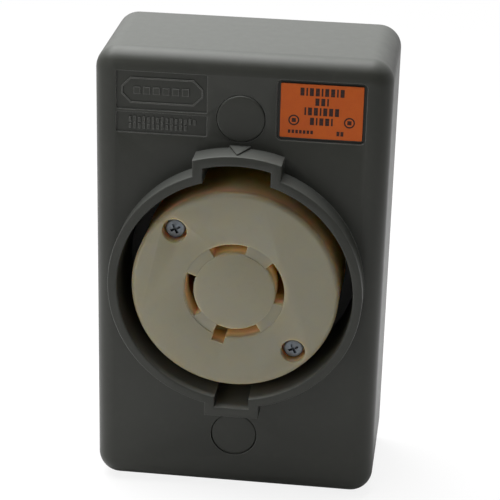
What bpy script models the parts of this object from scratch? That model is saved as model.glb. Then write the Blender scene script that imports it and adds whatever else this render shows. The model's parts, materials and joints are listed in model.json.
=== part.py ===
"""A surface-mounted locking receptacle box, with a shrouded four-slot receptacle.

Run with: blender --background --python part.py

The box hangs on a wall, over a wall box. Its axes are +X to the right and +Z up as seen from the
front, and +Y into the wall. The origin is on the receptacle's axis, in the plane of the wall.
So the front is at negative y. Everything behind the collar is placed from the wall forwards.
"""

import math

import bmesh
import bpy
from mathutils import Matrix

MM = 0.001
FIT_GAP = 0.3 * MM  # between pieces that touch when the box is assembled

# Housing: a moulded shell, open at the back
HOUSING_DEPTH = 34.0 * MM  # wall to front face
SCREW_SPACING = 83.3 * MM  # the wall box's two threaded ears
END_MARGIN = 15.5 * MM  # mounting screw to the top or bottom edge
SIDE_MARGIN = 4.75 * MM  # collar to the side wall
DRAFT = 0.4 * MM  # how much smaller the front is on each side
CORNER_RADIUS = 5.6 * MM
FRONT_EDGE_RADIUS = 4.7 * MM
WALL = 2.5 * MM
WALL_BITE = 0.6 * MM  # how far posts and ribs reach into the wall they stand on

# Collar and the well behind it, which take the plug's shroud and its two keys
COLLAR_HEIGHT = 6.5 * MM
COLLAR_WALL = 2.3 * MM
SHROUD_GAP = 3.4 * MM  # between the receptacle and the well's wall
TOP_KEY_HALF_WIDTH = 8.0 * MM
TOP_KEY_DEPTH = 3.5 * MM
BOTTOM_KEY_HALF_WIDTH = 4.2 * MM
BOTTOM_KEY_DEPTH = 2.5 * MM
KEY_WALL = 2.5 * MM
WELL_FLOOR = 2.5 * MM
ARROW_HALF_WIDTH = 3.0 * MM
ARROW_HEIGHT = 0.5 * MM
ARROW_TIP_SETBACK = 0.8 * MM

# Recesses in the front face
LABEL_WIDTH = 20.1 * MM
LABEL_HEIGHT = 13.9 * MM
LABEL_THICKNESS = 0.3 * MM
LABEL_RECESS = 0.8 * MM
LABEL_MARGIN = 0.4 * MM
LABEL_CORNER = 0.8 * MM
PANEL_WIDTH = 21.6 * MM
PANEL_UPPER_HEIGHT = 9.3 * MM
PANEL_LOWER_HEIGHT = 5.0 * MM
PANEL_BAR = 0.7 * MM
PANEL_RECESS = 0.5 * MM
FIELD_OFFSET = 18.85 * MM  # centre of the label, and of the panel on the other side
FIELD_TOP_MARGIN = 5.4 * MM  # top edge of the box to the top of both
CAP_RADIUS = 5.25 * MM
CAP_THICKNESS = 1.2 * MM
CAP_RECESS = 1.6 * MM
CAP_RECESS_MARGIN = 0.75 * MM
CAP_STEM_LENGTH = 5.0 * MM
CAP_STEM_WALL = 1.0 * MM
CAP_STEM_SPLIT = 1.4 * MM
TOP_CAP_LIFT = 0.6 * MM  # the top cap isn't pushed right home

# Mounting screws, under the caps
SCREW_BORE_RADIUS = 4.4 * MM
MOUNT_BOSS_WALL = 2.2 * MM
MOUNT_BOSS_SETBACK = 2.2 * MM
MOUNT_HOLE_RADIUS = 2.1 * MM
MOUNT_SHANK_RADIUS = 1.7 * MM
MOUNT_HEAD_RADIUS = 3.5 * MM
MOUNT_HEAD_HEIGHT = 2.6 * MM
MOUNT_SEAT = 12.0 * MM  # wall to the shoulder that the head bears on
MOUNT_TRAVEL = 7.0 * MM  # how far the screws are drawn back, until they are driven home
KEEPER_THICKNESS = 0.8 * MM
KEEPER_RADIUS = 4.2 * MM
MOUNT_TIP_SETBACK = 0.4 * MM
RIB_THICKNESS = 2.0 * MM

# Receptacle: a face cup, the carrier that fills it, and the terminal base behind them
FACE_RADIUS = 25.1 * MM
FACE_SETBACK = 0.8 * MM  # from the collar's rim
FACE_EDGE_RADIUS = 1.2 * MM
FACE_FRONT_WALL = 7.0 * MM
FACE_CUP_WALL = 1.6 * MM
FLANGE_WIDTH = 3.0 * MM
FLANGE_THICKNESS = 2.5 * MM
BASE_REAR_SETBACK = 3.5 * MM  # wall to the base's rear face
TERMINAL_POCKET_DEPTH = 6.0 * MM
TERMINAL_POCKET_HALF_WIDTH = 5.4 * MM
LOCATING_RIB_HALF_WIDTH = 1.5 * MM  # keeps the receptacle from turning with the plug
LOCATING_RIB_HEIGHT = 1.6 * MM  # inwards from the flanges' edge
LOCATING_RIB_ANGLE = 0

# Blade slots, in degrees from +X towards +Z
SLOT_RADIUS = 11.0 * MM
SLOT_WIDTH = 2.2 * MM
SLOT_ANGLES = {"neutral": (76, 121), "hot_x": (-14, 41), "hot_y": (161, 217), "ground": (-114, -57)}
HOOK_ANGLE = -106
HOOK_HALF_WIDTH = 1.5 * MM
HOOK_LENGTH = 2.0 * MM  # beyond the slot's outer edge
GROOVE_DEPTH = 0.4 * MM
GROOVE_MARGIN = 0.25 * MM

# Contacts and their terminals
LEAF_THICKNESS = 0.8 * MM
LEAF_CLEARANCE = 0.2 * MM  # slot edge to leaf
CHAMBER_CLEARANCE = 0.4 * MM
CONTACT_WEB = 1.0 * MM
GAP_OVERRUN_ANGLE = 10  # how far the cutter between the leaves runs past their ends
LEG_HALF_WIDTH = 3.0 * MM
TERMINAL_PLATE_HALF_WIDTH = 4.3 * MM
TERMINAL_PLATE_THICKNESS = 1.2 * MM
TERMINAL_SCREW_OFFSET = 6.2 * MM  # outwards from the slots' circle
TERMINAL_PLATE_REACH = 3.8 * MM  # beyond the screw's centre
TERMINAL_PLATE_LAP = 0.1 * MM  # past the leg's inner face
CLAMP_THICKNESS = 1.4 * MM
CLAMP_HALF_WIDTH = 4.4 * MM
TERMINAL_SHANK_RADIUS = 2.05 * MM
TERMINAL_SHANK_LENGTH = 7.2 * MM
TERMINAL_HOLE_CLEARANCE = 0.3 * MM
TERMINAL_HEAD_RADIUS = 3.8 * MM
TERMINAL_HEAD_HEIGHT = 2.3 * MM
DRIVER_SLOT_WIDTH = 1.1 * MM
DRIVER_SLOT_DEPTH = 1.0 * MM

# The two screws that hold the face, the carrier and the base together
ASSEMBLY_SCREW_SETBACK = 4.4 * MM  # from the face's edge
ASSEMBLY_SCREW_ANGLES = {"left": 135, "right": -45}
ASSEMBLY_HEAD_RADIUS = 2.4 * MM
ASSEMBLY_HEAD_HEIGHT = 2.4 * MM
ASSEMBLY_SHANK_RADIUS = 1.5 * MM
ASSEMBLY_HOLE_RADIUS = 1.7 * MM
COUNTERBORE_RADIUS = 3.0 * MM
COUNTERBORE_DEPTH = 4.2 * MM
NUT_HALF_WIDTH = 2.8 * MM
NUT_THICKNESS = 2.2 * MM
NUT_POCKET_DEPTH = 4.4 * MM

# The plate and four screws that hold the receptacle in the housing
RETAINER_THICKNESS = 1.5 * MM
RETAINER_OVERLAP = 2.2 * MM  # beyond the flange
RETAINER_BOSS_OFFSET = 4.1 * MM  # outwards from the collar's outer wall
RETAINER_BOSS_ANGLES = {"upper_right": 50, "upper_left": 130, "lower_left": -130, "lower_right": -50}
RETAINER_BOSS_RADIUS = 3.4 * MM
RETAINER_EAR_RADIUS = 4.2 * MM
RETAINER_HOLE_RADIUS = 1.7 * MM
RETAINER_SHANK_RADIUS = 1.35 * MM
RETAINER_SHANK_LENGTH = 13.0 * MM
RETAINER_HEAD_RADIUS = 2.8 * MM
RETAINER_HEAD_HEIGHT = 1.9 * MM

# How finely round shapes are divided
ROUND_STEPS = 64
SMALL_ROUND_STEPS = 24
SCREW_STEPS = 16
CORNER_STEPS = 6
EDGE_STEPS = 5
MERGE_DISTANCE = 0.002 * MM
OVERRUN = 5 * MM  # how far a cutter runs past the wall it cuts

# Radii and places that follow
WELL_RADIUS = FACE_RADIUS + SHROUD_GAP
COLLAR_RADIUS = WELL_RADIUS + COLLAR_WALL
HOUSING_WIDTH = 2 * (COLLAR_RADIUS + SIDE_MARGIN)
HOUSING_HEIGHT = SCREW_SPACING + 2 * END_MARGIN
FLANGE_RADIUS = FACE_RADIUS + FLANGE_WIDTH
BASE_RADIUS = FACE_RADIUS - FACE_CUP_WALL - FIT_GAP
BASE_REAR_RADIUS = FACE_RADIUS - FIT_GAP
RETAINER_BOSS_CENTRE = COLLAR_RADIUS + RETAINER_BOSS_OFFSET
SLOT_INNER = SLOT_RADIUS - SLOT_WIDTH / 2
SLOT_OUTER = SLOT_RADIUS + SLOT_WIDTH / 2
LEAF_INNER = SLOT_INNER - LEAF_CLEARANCE - LEAF_THICKNESS
LEAF_OUTER = SLOT_OUTER + LEAF_CLEARANCE + LEAF_THICKNESS
TERMINAL_RADIUS = SLOT_RADIUS + TERMINAL_SCREW_OFFSET
ASSEMBLY_SCREW_RADIUS = FACE_RADIUS - ASSEMBLY_SCREW_SETBACK

FRONT = -HOUSING_DEPTH
RIM = FRONT - COLLAR_HEIGHT
FACE = RIM + FACE_SETBACK
BASE_REAR = -BASE_REAR_SETBACK
POCKET_FLOOR = BASE_REAR - TERMINAL_POCKET_DEPTH
RETAINER_REAR = POCKET_FLOOR
RETAINER_FRONT = RETAINER_REAR - RETAINER_THICKNESS
BASE_FLANGE_REAR = RETAINER_FRONT - FIT_GAP
BASE_FLANGE_FRONT = BASE_FLANGE_REAR - FLANGE_THICKNESS
FACE_FLANGE_REAR = BASE_FLANGE_FRONT - FIT_GAP
FACE_FLANGE_FRONT = FACE_FLANGE_REAR - FLANGE_THICKNESS
WELL_FLOOR_REAR = FACE_FLANGE_FRONT - FIT_GAP
WELL_FLOOR_FRONT = WELL_FLOOR_REAR - WELL_FLOOR
FACE_CUP_FLOOR = FACE + FACE_FRONT_WALL
BASE_FRONT = FACE_CUP_FLOOR + FIT_GAP
CARRIER_REAR = BASE_FLANGE_FRONT - FIT_GAP
TERMINAL_PLATE_FRONT = POCKET_FLOOR + FIT_GAP
TERMINAL_PLATE_REAR = TERMINAL_PLATE_FRONT + TERMINAL_PLATE_THICKNESS
CLAMP_FRONT = TERMINAL_PLATE_REAR + FIT_GAP
CLAMP_REAR = CLAMP_FRONT + CLAMP_THICKNESS

GREY_PLASTIC = ("grey_plastic", (0.105, 0.105, 0.098, 1), 0.5, 0.0)
IVORY_NYLON = ("ivory_nylon", (0.80, 0.77, 0.66, 1), 0.45, 0.0)
BLACK_PHENOLIC = ("black_phenolic", (0.02, 0.02, 0.022, 1), 0.5, 0.0)
ORANGE_LABEL = ("orange_label", (0.85, 0.24, 0.03, 1), 0.4, 0.0)
BRASS = ("brass", (0.78, 0.57, 0.23, 1), 0.3, 1.0)
ZINC_STEEL = ("zinc_steel", (0.62, 0.64, 0.66, 1), 0.35, 1.0)
GREEN_STEEL = ("green_steel", (0.05, 0.35, 0.12, 1), 0.35, 1.0)
RED_FIBRE = ("red_fibre", (0.45, 0.07, 0.04, 1), 0.7, 0.0)


def clear_scene():
    for obj in list(bpy.data.objects):
        bpy.data.objects.remove(obj)


def material(finish):
    name, colour, roughness, metallic = finish
    found = bpy.data.materials.get(name)
    if found:
        return found
    made = bpy.data.materials.new(name)
    made.use_nodes = True
    shader = made.node_tree.nodes["Principled BSDF"]
    shader.inputs["Base Color"].default_value = colour
    shader.inputs["Roughness"].default_value = roughness
    shader.inputs["Metallic"].default_value = metallic
    return made


# Outlines: lists of (x, z) points, anticlockwise as seen from the front


def polar(radius, degrees):
    turn = math.radians(degrees)
    return radius * math.cos(turn), radius * math.sin(turn)


def arc(radius, start, end, steps):
    """Points on a circle round the axis, from start to end in degrees."""
    return [polar(radius, start + (end - start) * i / steps) for i in range(steps + 1)]


def rectangle(left, right, bottom, top):
    return [(left, bottom), (right, bottom), (right, top), (left, top)]


def rounded_rectangle(width, height, radius, steps):
    points = []
    for start, side_x, side_z in ((0, 1, 1), (90, -1, 1), (180, -1, -1), (270, 1, -1)):
        centre_x = side_x * (width / 2 - radius)
        centre_z = side_z * (height / 2 - radius)
        corner = arc(radius, start, start + 90, steps)
        points += [(centre_x + x, centre_z + z) for x, z in corner]
    return points


def sector(inner, outer, start, end):
    """A piece of a ring, with a step about every 5 degrees."""
    steps = max(2, round((end - start) / 5))
    return arc(outer, start, end, steps) + arc(inner, end, start, steps)


def keyed_circle(radius, top_half_width, top_radius, bottom_half_width, bottom_reach):
    """A circle with a key at the top and at the bottom. The top one ends in an arc, the other is flat."""
    top_inner = math.degrees(math.acos(top_half_width / radius))
    top_outer = math.degrees(math.acos(top_half_width / top_radius))
    bottom_inner = math.degrees(math.acos(bottom_half_width / radius))
    side_steps = ROUND_STEPS // 2 - 8
    return (
        arc(top_radius, top_outer, 180 - top_outer, 7)
        + arc(radius, 180 - top_inner, 180 + bottom_inner, side_steps)
        + [(-bottom_half_width, -bottom_reach), (bottom_half_width, -bottom_reach)]
        + arc(radius, 360 - bottom_inner, 360 + top_inner, side_steps)
    )


# Solids


def add_object(name, bm):
    bmesh.ops.recalc_face_normals(bm, faces=bm.faces)
    mesh = bpy.data.meshes.new(name)
    bm.to_mesh(mesh)
    bm.free()
    obj = bpy.data.objects.new(name, mesh)
    bpy.context.scene.collection.objects.link(obj)
    return obj


def loft(name, rings):
    """A closed solid through rings of (x, y, z) points, all rings with the same number of points."""
    bm = bmesh.new()
    loops = [[bm.verts.new(point) for point in ring] for ring in rings]
    for here, beyond in zip(loops, loops[1:]):
        for i in range(len(here)):
            bm.faces.new((here[i - 1], here[i], beyond[i], beyond[i - 1]))
    bm.faces.new(loops[0])
    bm.faces.new(loops[-1])
    return add_object(name, bm)


def prism(name, outline, front, back):
    """An outline pushed along y, from front to back."""
    return loft(name, [[(x, y, z) for x, z in outline] for y in (front, back)])


def box(name, left, right, front, back, bottom, top):
    return prism(name, rectangle(left, right, bottom, top), front, back)


def turned(name, profile, steps):
    """A profile of (radius, y) points spun about the y axis. A point at radius 0 closes an end."""
    bm = bmesh.new()
    points = [bm.verts.new((radius, y, 0)) for radius, y in profile]
    edges = [bm.edges.new(pair) for pair in zip(points, points[1:])]
    if profile[0][0] > 0:
        edges.append(bm.edges.new((points[-1], points[0])))
    bmesh.ops.spin(
        bm, geom=points + edges, cent=(0, 0, 0), axis=(0, 1, 0), angle=math.tau, steps=steps, use_merge=True
    )
    bmesh.ops.remove_doubles(bm, verts=bm.verts, dist=MERGE_DISTANCE)
    return add_object(name, bm)


def cylinder(name, radius, front, back, steps=SMALL_ROUND_STEPS):
    return turned(name, [(0, front), (radius, front), (radius, back), (0, back)], steps)


def moved(obj, x=0.0, z=0.0):
    obj.data.transform(Matrix.Translation((x, 0, z)))
    return obj


def turned_by(obj, degrees):
    """The shape turned about the receptacle's axis, from +X towards +Z."""
    obj.data.transform(Matrix.Rotation(-math.radians(degrees), 4, "Y"))
    return obj


def combine(target, tool, operation):
    """Joins the tool to the target or cuts it away, and removes the tool."""
    modifier = target.modifiers.new(operation.title(), "BOOLEAN")
    modifier.operation = operation
    modifier.solver = "EXACT"
    modifier.object = tool
    bpy.context.view_layer.update()
    graph = bpy.context.evaluated_depsgraph_get()
    result = bpy.data.meshes.new_from_object(target.evaluated_get(graph))
    target.modifiers.clear()
    target.data = result
    bpy.data.objects.remove(tool)
    bm = bmesh.new()
    bm.from_mesh(result)
    bmesh.ops.remove_doubles(bm, verts=bm.verts, dist=MERGE_DISTANCE)
    bmesh.ops.dissolve_degenerate(bm, edges=bm.edges, dist=MERGE_DISTANCE)
    bm.to_mesh(result)
    bm.free()
    return target


def cut(target, tool):
    return combine(target, tool, "DIFFERENCE")


def join(target, tool):
    return combine(target, tool, "UNION")


def finish_piece(obj, finish, location=(0, 0, 0), degrees=0.0):
    """Places the piece, turns it about its own y axis, and gives it its material."""
    obj.location = location
    obj.rotation_euler.y = -math.radians(degrees)
    obj.data.materials.clear()
    obj.data.materials.append(material(finish))
    obj.data.shade_smooth()
    obj.data.set_sharp_from_angle(angle=math.radians(30))
    return obj


# The pieces

def housing_ring(inset, y):
    outline = rounded_rectangle(
        HOUSING_WIDTH - 2 * inset, HOUSING_HEIGHT - 2 * inset, CORNER_RADIUS - inset, CORNER_STEPS
    )
    return [(x, y, z) for x, z in outline]


def housing_shell():
    """The outer box with its rounded front edge, less the cavity, which is open at the back."""
    edge_start = FRONT + FRONT_EDGE_RADIUS
    rings = [housing_ring(0, 0)]
    for i in range(EDGE_STEPS + 1):
        turn = math.radians(90 * i / EDGE_STEPS)
        inset = DRAFT + FRONT_EDGE_RADIUS * (1 - math.cos(turn))
        rings.append(housing_ring(inset, edge_start - FRONT_EDGE_RADIUS * math.sin(turn)))
    shell = loft("housing", rings)
    cavity_front = FRONT + WALL
    cavity = loft(
        "cavity",
        [
            housing_ring(WALL, OVERRUN),
            housing_ring(WALL + DRAFT, cavity_front + WALL),
            housing_ring(WALL + DRAFT + WALL / 3, cavity_front + WALL / 3),
            housing_ring(WALL + DRAFT + WALL, cavity_front),
        ],
    )
    return cut(shell, cavity)


def key_outline(radius, wall):
    """The collar's outline at a radius, with the two keyways grown by a wall."""
    return keyed_circle(
        radius,
        TOP_KEY_HALF_WIDTH + wall,
        WELL_RADIUS + TOP_KEY_DEPTH + wall,
        BOTTOM_KEY_HALF_WIDTH + wall,
        WELL_RADIUS + BOTTOM_KEY_DEPTH + wall,
    )


def add_collar(housing):
    """The collar, its two ears and the well behind them, which ends at a floor."""
    join(housing, prism("collar", key_outline(COLLAR_RADIUS, KEY_WALL), RIM, WELL_FLOOR_REAR))
    ear_top = WELL_RADIUS + TOP_KEY_DEPTH + KEY_WALL
    arrow_base = FRONT + WALL / 2
    arrow = [(-ARROW_HALF_WIDTH, arrow_base), (ARROW_HALF_WIDTH, arrow_base), (0, RIM + ARROW_TIP_SETBACK)]
    levels = (ear_top - KEY_WALL / 2, ear_top + ARROW_HEIGHT)
    join(housing, loft("arrow", [[(x, y, z) for x, y in arrow] for z in levels]))


def add_bosses(housing):
    """Posts for the two mounting screws and the four retaining screws, and the mounting posts' ribs."""
    inside_front = FRONT + WALL - WALL_BITE
    boss_radius = SCREW_BORE_RADIUS + MOUNT_BOSS_WALL
    outer_end = HOUSING_HEIGHT / 2 - DRAFT - WALL + WALL_BITE
    for side, key_depth in ((1, TOP_KEY_DEPTH), (-1, BOTTOM_KEY_DEPTH)):
        inner_end = WELL_RADIUS + key_depth + KEY_WALL - WALL_BITE
        ends = sorted((side * inner_end, side * outer_end))
        rib = box("rib", -RIB_THICKNESS / 2, RIB_THICKNESS / 2, inside_front, WELL_FLOOR_REAR - WALL, *ends)
        join(housing, rib)
        post = cylinder("post", boss_radius, inside_front, -MOUNT_BOSS_SETBACK)
        join(housing, moved(post, z=side * SCREW_SPACING / 2))
    for degrees in RETAINER_BOSS_ANGLES.values():
        x, z = polar(RETAINER_BOSS_CENTRE, degrees)
        post = cylinder("post", RETAINER_BOSS_RADIUS, inside_front, RETAINER_FRONT - FIT_GAP, SCREW_STEPS)
        join(housing, moved(post, x, z))
    half = LOCATING_RIB_HALF_WIDTH
    rib_start = FLANGE_RADIUS - LOCATING_RIB_HEIGHT + FIT_GAP
    rib_front = WELL_FLOOR_REAR - WALL_BITE
    rib = box("rib", rib_start, COLLAR_RADIUS - WALL_BITE, rib_front, BASE_FLANGE_REAR, -half, half)
    join(housing, turned_by(rib, LOCATING_RIB_ANGLE))


def locating_notch():
    """The cutter for the notch in both flanges that the housing's locating rib enters."""
    half = LOCATING_RIB_HALF_WIDTH + FIT_GAP
    start = FLANGE_RADIUS - LOCATING_RIB_HEIGHT
    notch = box("notch", start, 2 * FLANGE_RADIUS, WELL_FLOOR_REAR - OVERRUN, RETAINER_REAR, -half, half)
    return turned_by(notch, LOCATING_RIB_ANGLE)


def cut_bores(housing):
    """The well, the receptacle's hole, the screw bores with their cap recesses, and the screw holes."""
    cut(housing, prism("well", key_outline(WELL_RADIUS, 0), RIM - OVERRUN, WELL_FLOOR_FRONT))
    hole_front = WELL_FLOOR_FRONT - OVERRUN
    hole_rear = WELL_FLOOR_REAR + OVERRUN
    cut(housing, cylinder("hole", FACE_RADIUS + FIT_GAP, hole_front, hole_rear, ROUND_STEPS))
    recess_radius = CAP_RADIUS + CAP_RECESS_MARGIN
    profile = [
        (0, FRONT - OVERRUN),
        (recess_radius, FRONT - OVERRUN),
        (recess_radius, FRONT + CAP_RECESS),
        (SCREW_BORE_RADIUS, FRONT + CAP_RECESS),
        (SCREW_BORE_RADIUS, -MOUNT_SEAT),
        (MOUNT_HOLE_RADIUS, -MOUNT_SEAT),
        (MOUNT_HOLE_RADIUS, OVERRUN),
        (0, OVERRUN),
    ]
    for side in (1, -1):
        cut(housing, moved(turned("bore", profile, SMALL_ROUND_STEPS), z=side * SCREW_SPACING / 2))
    hole_end = RETAINER_FRONT - RETAINER_SHANK_LENGTH
    for degrees in RETAINER_BOSS_ANGLES.values():
        x, z = polar(RETAINER_BOSS_CENTRE, degrees)
        cut(housing, moved(cylinder("hole", RETAINER_HOLE_RADIUS, hole_end, OVERRUN, SCREW_STEPS), x, z))


def field_top():
    return HOUSING_HEIGHT / 2 - FIELD_TOP_MARGIN


def cut_fields(housing):
    """The label's recess, and the marking panel's two recesses with a bar between them."""
    recess = rounded_rectangle(
        LABEL_WIDTH + 2 * LABEL_MARGIN, LABEL_HEIGHT + 2 * LABEL_MARGIN, LABEL_CORNER + LABEL_MARGIN, 3
    )
    label_z = field_top() - LABEL_HEIGHT / 2 - LABEL_MARGIN
    cut(housing, moved(prism("recess", recess, FRONT - WALL, FRONT + LABEL_RECESS), FIELD_OFFSET, label_z))
    top = field_top()
    half = PANEL_WIDTH / 2
    for height in (PANEL_UPPER_HEIGHT, PANEL_LOWER_HEIGHT):
        field = box("field", -half, half, FRONT - WALL, FRONT + PANEL_RECESS, top - height, top)
        cut(housing, moved(field, -FIELD_OFFSET))
        top -= height + PANEL_BAR


def make_housing():
    housing = housing_shell()
    add_collar(housing)
    add_bosses(housing)
    cut_bores(housing)
    cut_fields(housing)
    finish_piece(housing, GREY_PLASTIC)


def make_label():
    outline = rounded_rectangle(LABEL_WIDTH, LABEL_HEIGHT, LABEL_CORNER, 3)
    back = LABEL_RECESS - FIT_GAP
    label = prism("rating_label", outline, back - LABEL_THICKNESS, back)
    label_z = field_top() - LABEL_HEIGHT / 2 - LABEL_MARGIN
    finish_piece(label, ORANGE_LABEL, (FIELD_OFFSET, FRONT, label_z))


def make_cap(name, side, lift):
    """A screw-hole cap: a disc with a split stem. Its own origin is where its disc meets the stem."""
    stem_radius = SCREW_BORE_RADIUS - FIT_GAP
    cap = turned(
        name,
        [
            (0, -CAP_THICKNESS),
            (CAP_RADIUS - CAP_THICKNESS / 4, -CAP_THICKNESS),
            (CAP_RADIUS, -CAP_THICKNESS * 3 / 4),
            (CAP_RADIUS, 0),
            (stem_radius, 0),
            (stem_radius, CAP_STEM_LENGTH),
            (stem_radius - CAP_STEM_WALL, CAP_STEM_LENGTH),
            (stem_radius - CAP_STEM_WALL, -CAP_THICKNESS / 4),
            (0, -CAP_THICKNESS / 4),
        ],
        SMALL_ROUND_STEPS,
    )
    half = CAP_STEM_SPLIT / 2
    reach = 2 * CAP_RADIUS
    for left, top in ((half, reach), (reach, half)):
        cut(cap, box("split", -left, left, FIT_GAP, CAP_STEM_LENGTH + OVERRUN, -top, top))
    seat = FRONT + CAP_RECESS - FIT_GAP - lift
    finish_piece(cap, GREY_PLASTIC, (0, seat, side * SCREW_SPACING / 2))


def screw(name, head_radius, head_height, shank_radius, shank_length, degrees=0.0):
    """A slotted screw pointing along +y. The origin is under its head."""
    edge = head_height / 4
    body = turned(
        name,
        [
            (0, -head_height),
            (head_radius - edge, -head_height),
            (head_radius, -head_height + edge),
            (head_radius, 0),
            (shank_radius, 0),
            (shank_radius, shank_length - shank_radius / 2),
            (shank_radius / 2, shank_length),
            (0, shank_length),
        ],
        SCREW_STEPS,
    )
    half = DRIVER_SLOT_WIDTH / 2
    reach = 2 * head_radius
    slot = box("slot", -reach, reach, -2 * head_height, DRIVER_SLOT_DEPTH - head_height, -half, half)
    return cut(body, turned_by(slot, degrees))


def make_mounting_screws():
    for name, side in (("top", 1), ("bottom", -1)):
        seat = -MOUNT_SEAT - FIT_GAP - MOUNT_TRAVEL
        place = side * SCREW_SPACING / 2
        length = -seat - MOUNT_TIP_SETBACK
        body = screw(
            f"mounting_screw_{name}",
            MOUNT_HEAD_RADIUS,
            MOUNT_HEAD_HEIGHT,
            MOUNT_SHANK_RADIUS,
            length,
            35 * side,
        )
        finish_piece(body, ZINC_STEEL, (0, seat, place))
        keeper_front = FIT_GAP - MOUNT_BOSS_SETBACK
        hole = MOUNT_SHANK_RADIUS + FIT_GAP / 2
        keeper = turned(
            f"screw_keeper_{name}",
            [(hole, 0), (KEEPER_RADIUS, 0), (KEEPER_RADIUS, KEEPER_THICKNESS), (hole, KEEPER_THICKNESS)],
            SCREW_STEPS,
        )
        finish_piece(keeper, RED_FIBRE, (0, keeper_front, place))


def slot_cutters(front, back):
    """One cutter for each blade slot. The ground slot also has a hook pointing outwards."""
    for start, end in SLOT_ANGLES.values():
        yield prism("slot", sector(SLOT_INNER, SLOT_OUTER, start, end), front, back)
    half = HOOK_HALF_WIDTH
    hook = rectangle(SLOT_INNER + SLOT_WIDTH / 4, SLOT_OUTER + HOOK_LENGTH, -half, half)
    yield turned_by(prism("hook", hook, front, back), HOOK_ANGLE)


def make_receptacle_face():
    """The nylon cup: slotted front, rim flange at the back, groove round the centre island."""
    edge = [
        (
            FACE_RADIUS - FACE_EDGE_RADIUS * (1 - math.sin(turn)),
            FACE + FACE_EDGE_RADIUS * (1 - math.cos(turn)),
        )
        for turn in (math.radians(30 * i) for i in range(4))
    ]
    cup_radius = FACE_RADIUS - FACE_CUP_WALL
    face = turned(
        "receptacle_face",
        [
            (0, FACE),
            *edge,
            (FACE_RADIUS, FACE_FLANGE_FRONT),
            (FLANGE_RADIUS, FACE_FLANGE_FRONT),
            (FLANGE_RADIUS, FACE_FLANGE_REAR),
            (cup_radius, FACE_FLANGE_REAR),
            (cup_radius, FACE_CUP_FLOOR),
            (0, FACE_CUP_FLOOR),
        ],
        ROUND_STEPS,
    )
    inner = SLOT_INNER - GROOVE_MARGIN
    outer = SLOT_OUTER + GROOVE_MARGIN
    floor = FACE + GROOVE_DEPTH
    profile = [(inner, FACE - OVERRUN), (outer, FACE - OVERRUN), (outer, floor), (inner, floor)]
    cut(face, turned("groove", profile, ROUND_STEPS))
    for cutter in slot_cutters(FACE - OVERRUN, FACE_CUP_FLOOR + OVERRUN):
        cut(face, cutter)
    bore_floor = FACE + COUNTERBORE_DEPTH
    for degrees in ASSEMBLY_SCREW_ANGLES.values():
        profile = [
            (0, FACE - OVERRUN),
            (COUNTERBORE_RADIUS, FACE - OVERRUN),
            (COUNTERBORE_RADIUS, bore_floor),
            (ASSEMBLY_HOLE_RADIUS, bore_floor),
            (ASSEMBLY_HOLE_RADIUS, FACE_CUP_FLOOR + OVERRUN),
            (0, FACE_CUP_FLOOR + OVERRUN),
        ]
        bore = turned("bore", profile, SMALL_ROUND_STEPS)
        cut(face, moved(bore, *polar(ASSEMBLY_SCREW_RADIUS, degrees)))
    cut(face, locating_notch())
    finish_piece(face, IVORY_NYLON)


def terminal_angle(name):
    start, end = SLOT_ANGLES[name]
    return (start + end) / 2


def make_contact_carrier():
    """The moulded core that fills the face cup. A chamber runs through it for each contact's leaves."""
    carrier = cylinder("contact_carrier", BASE_RADIUS, BASE_FRONT, CARRIER_REAR, ROUND_STEPS)
    spread = math.degrees(CHAMBER_CLEARANCE / LEAF_INNER)
    inner = LEAF_INNER - CHAMBER_CLEARANCE
    outer = LEAF_OUTER + CHAMBER_CLEARANCE
    for start, end in SLOT_ANGLES.values():
        chamber = sector(inner, outer, start - spread, end + spread)
        cut(carrier, prism("chamber", chamber, BASE_FRONT - OVERRUN, CARRIER_REAR + OVERRUN))
    cut_assembly_holes(carrier)
    finish_piece(carrier, BLACK_PHENOLIC)


def cut_assembly_holes(piece):
    for degrees in ASSEMBLY_SCREW_ANGLES.values():
        hole = cylinder("hole", ASSEMBLY_HOLE_RADIUS, BASE_FRONT - OVERRUN, OVERRUN, SCREW_STEPS)
        cut(piece, turned_by(moved(hole, ASSEMBLY_SCREW_RADIUS), degrees))


def cut_terminal(base, name):
    """A terminal's pocket, the way in for the contact's leg, and the screw's hole."""
    middle = terminal_angle(name)
    pocket_start = LEAF_OUTER - 2 * LEAF_THICKNESS - CHAMBER_CLEARANCE
    width = TERMINAL_POCKET_HALF_WIDTH
    pocket = box("pocket", pocket_start, 2 * FACE_RADIUS, POCKET_FLOOR, OVERRUN, -width, width)
    cut(base, turned_by(pocket, middle))
    half = LEG_HALF_WIDTH + CHAMBER_CLEARANCE
    way_end = pocket_start + LEAF_THICKNESS + 2 * CHAMBER_CLEARANCE
    way_front = BASE_FLANGE_FRONT - OVERRUN
    way = box("way", pocket_start, way_end, way_front, POCKET_FLOOR + LEAF_THICKNESS, -half, half)
    cut(base, turned_by(way, middle))
    hole_radius = TERMINAL_SHANK_RADIUS + TERMINAL_HOLE_CLEARANCE
    hole = cylinder("hole", hole_radius, way_front, OVERRUN, SCREW_STEPS)
    cut(base, turned_by(moved(hole, TERMINAL_RADIUS), middle))


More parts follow.
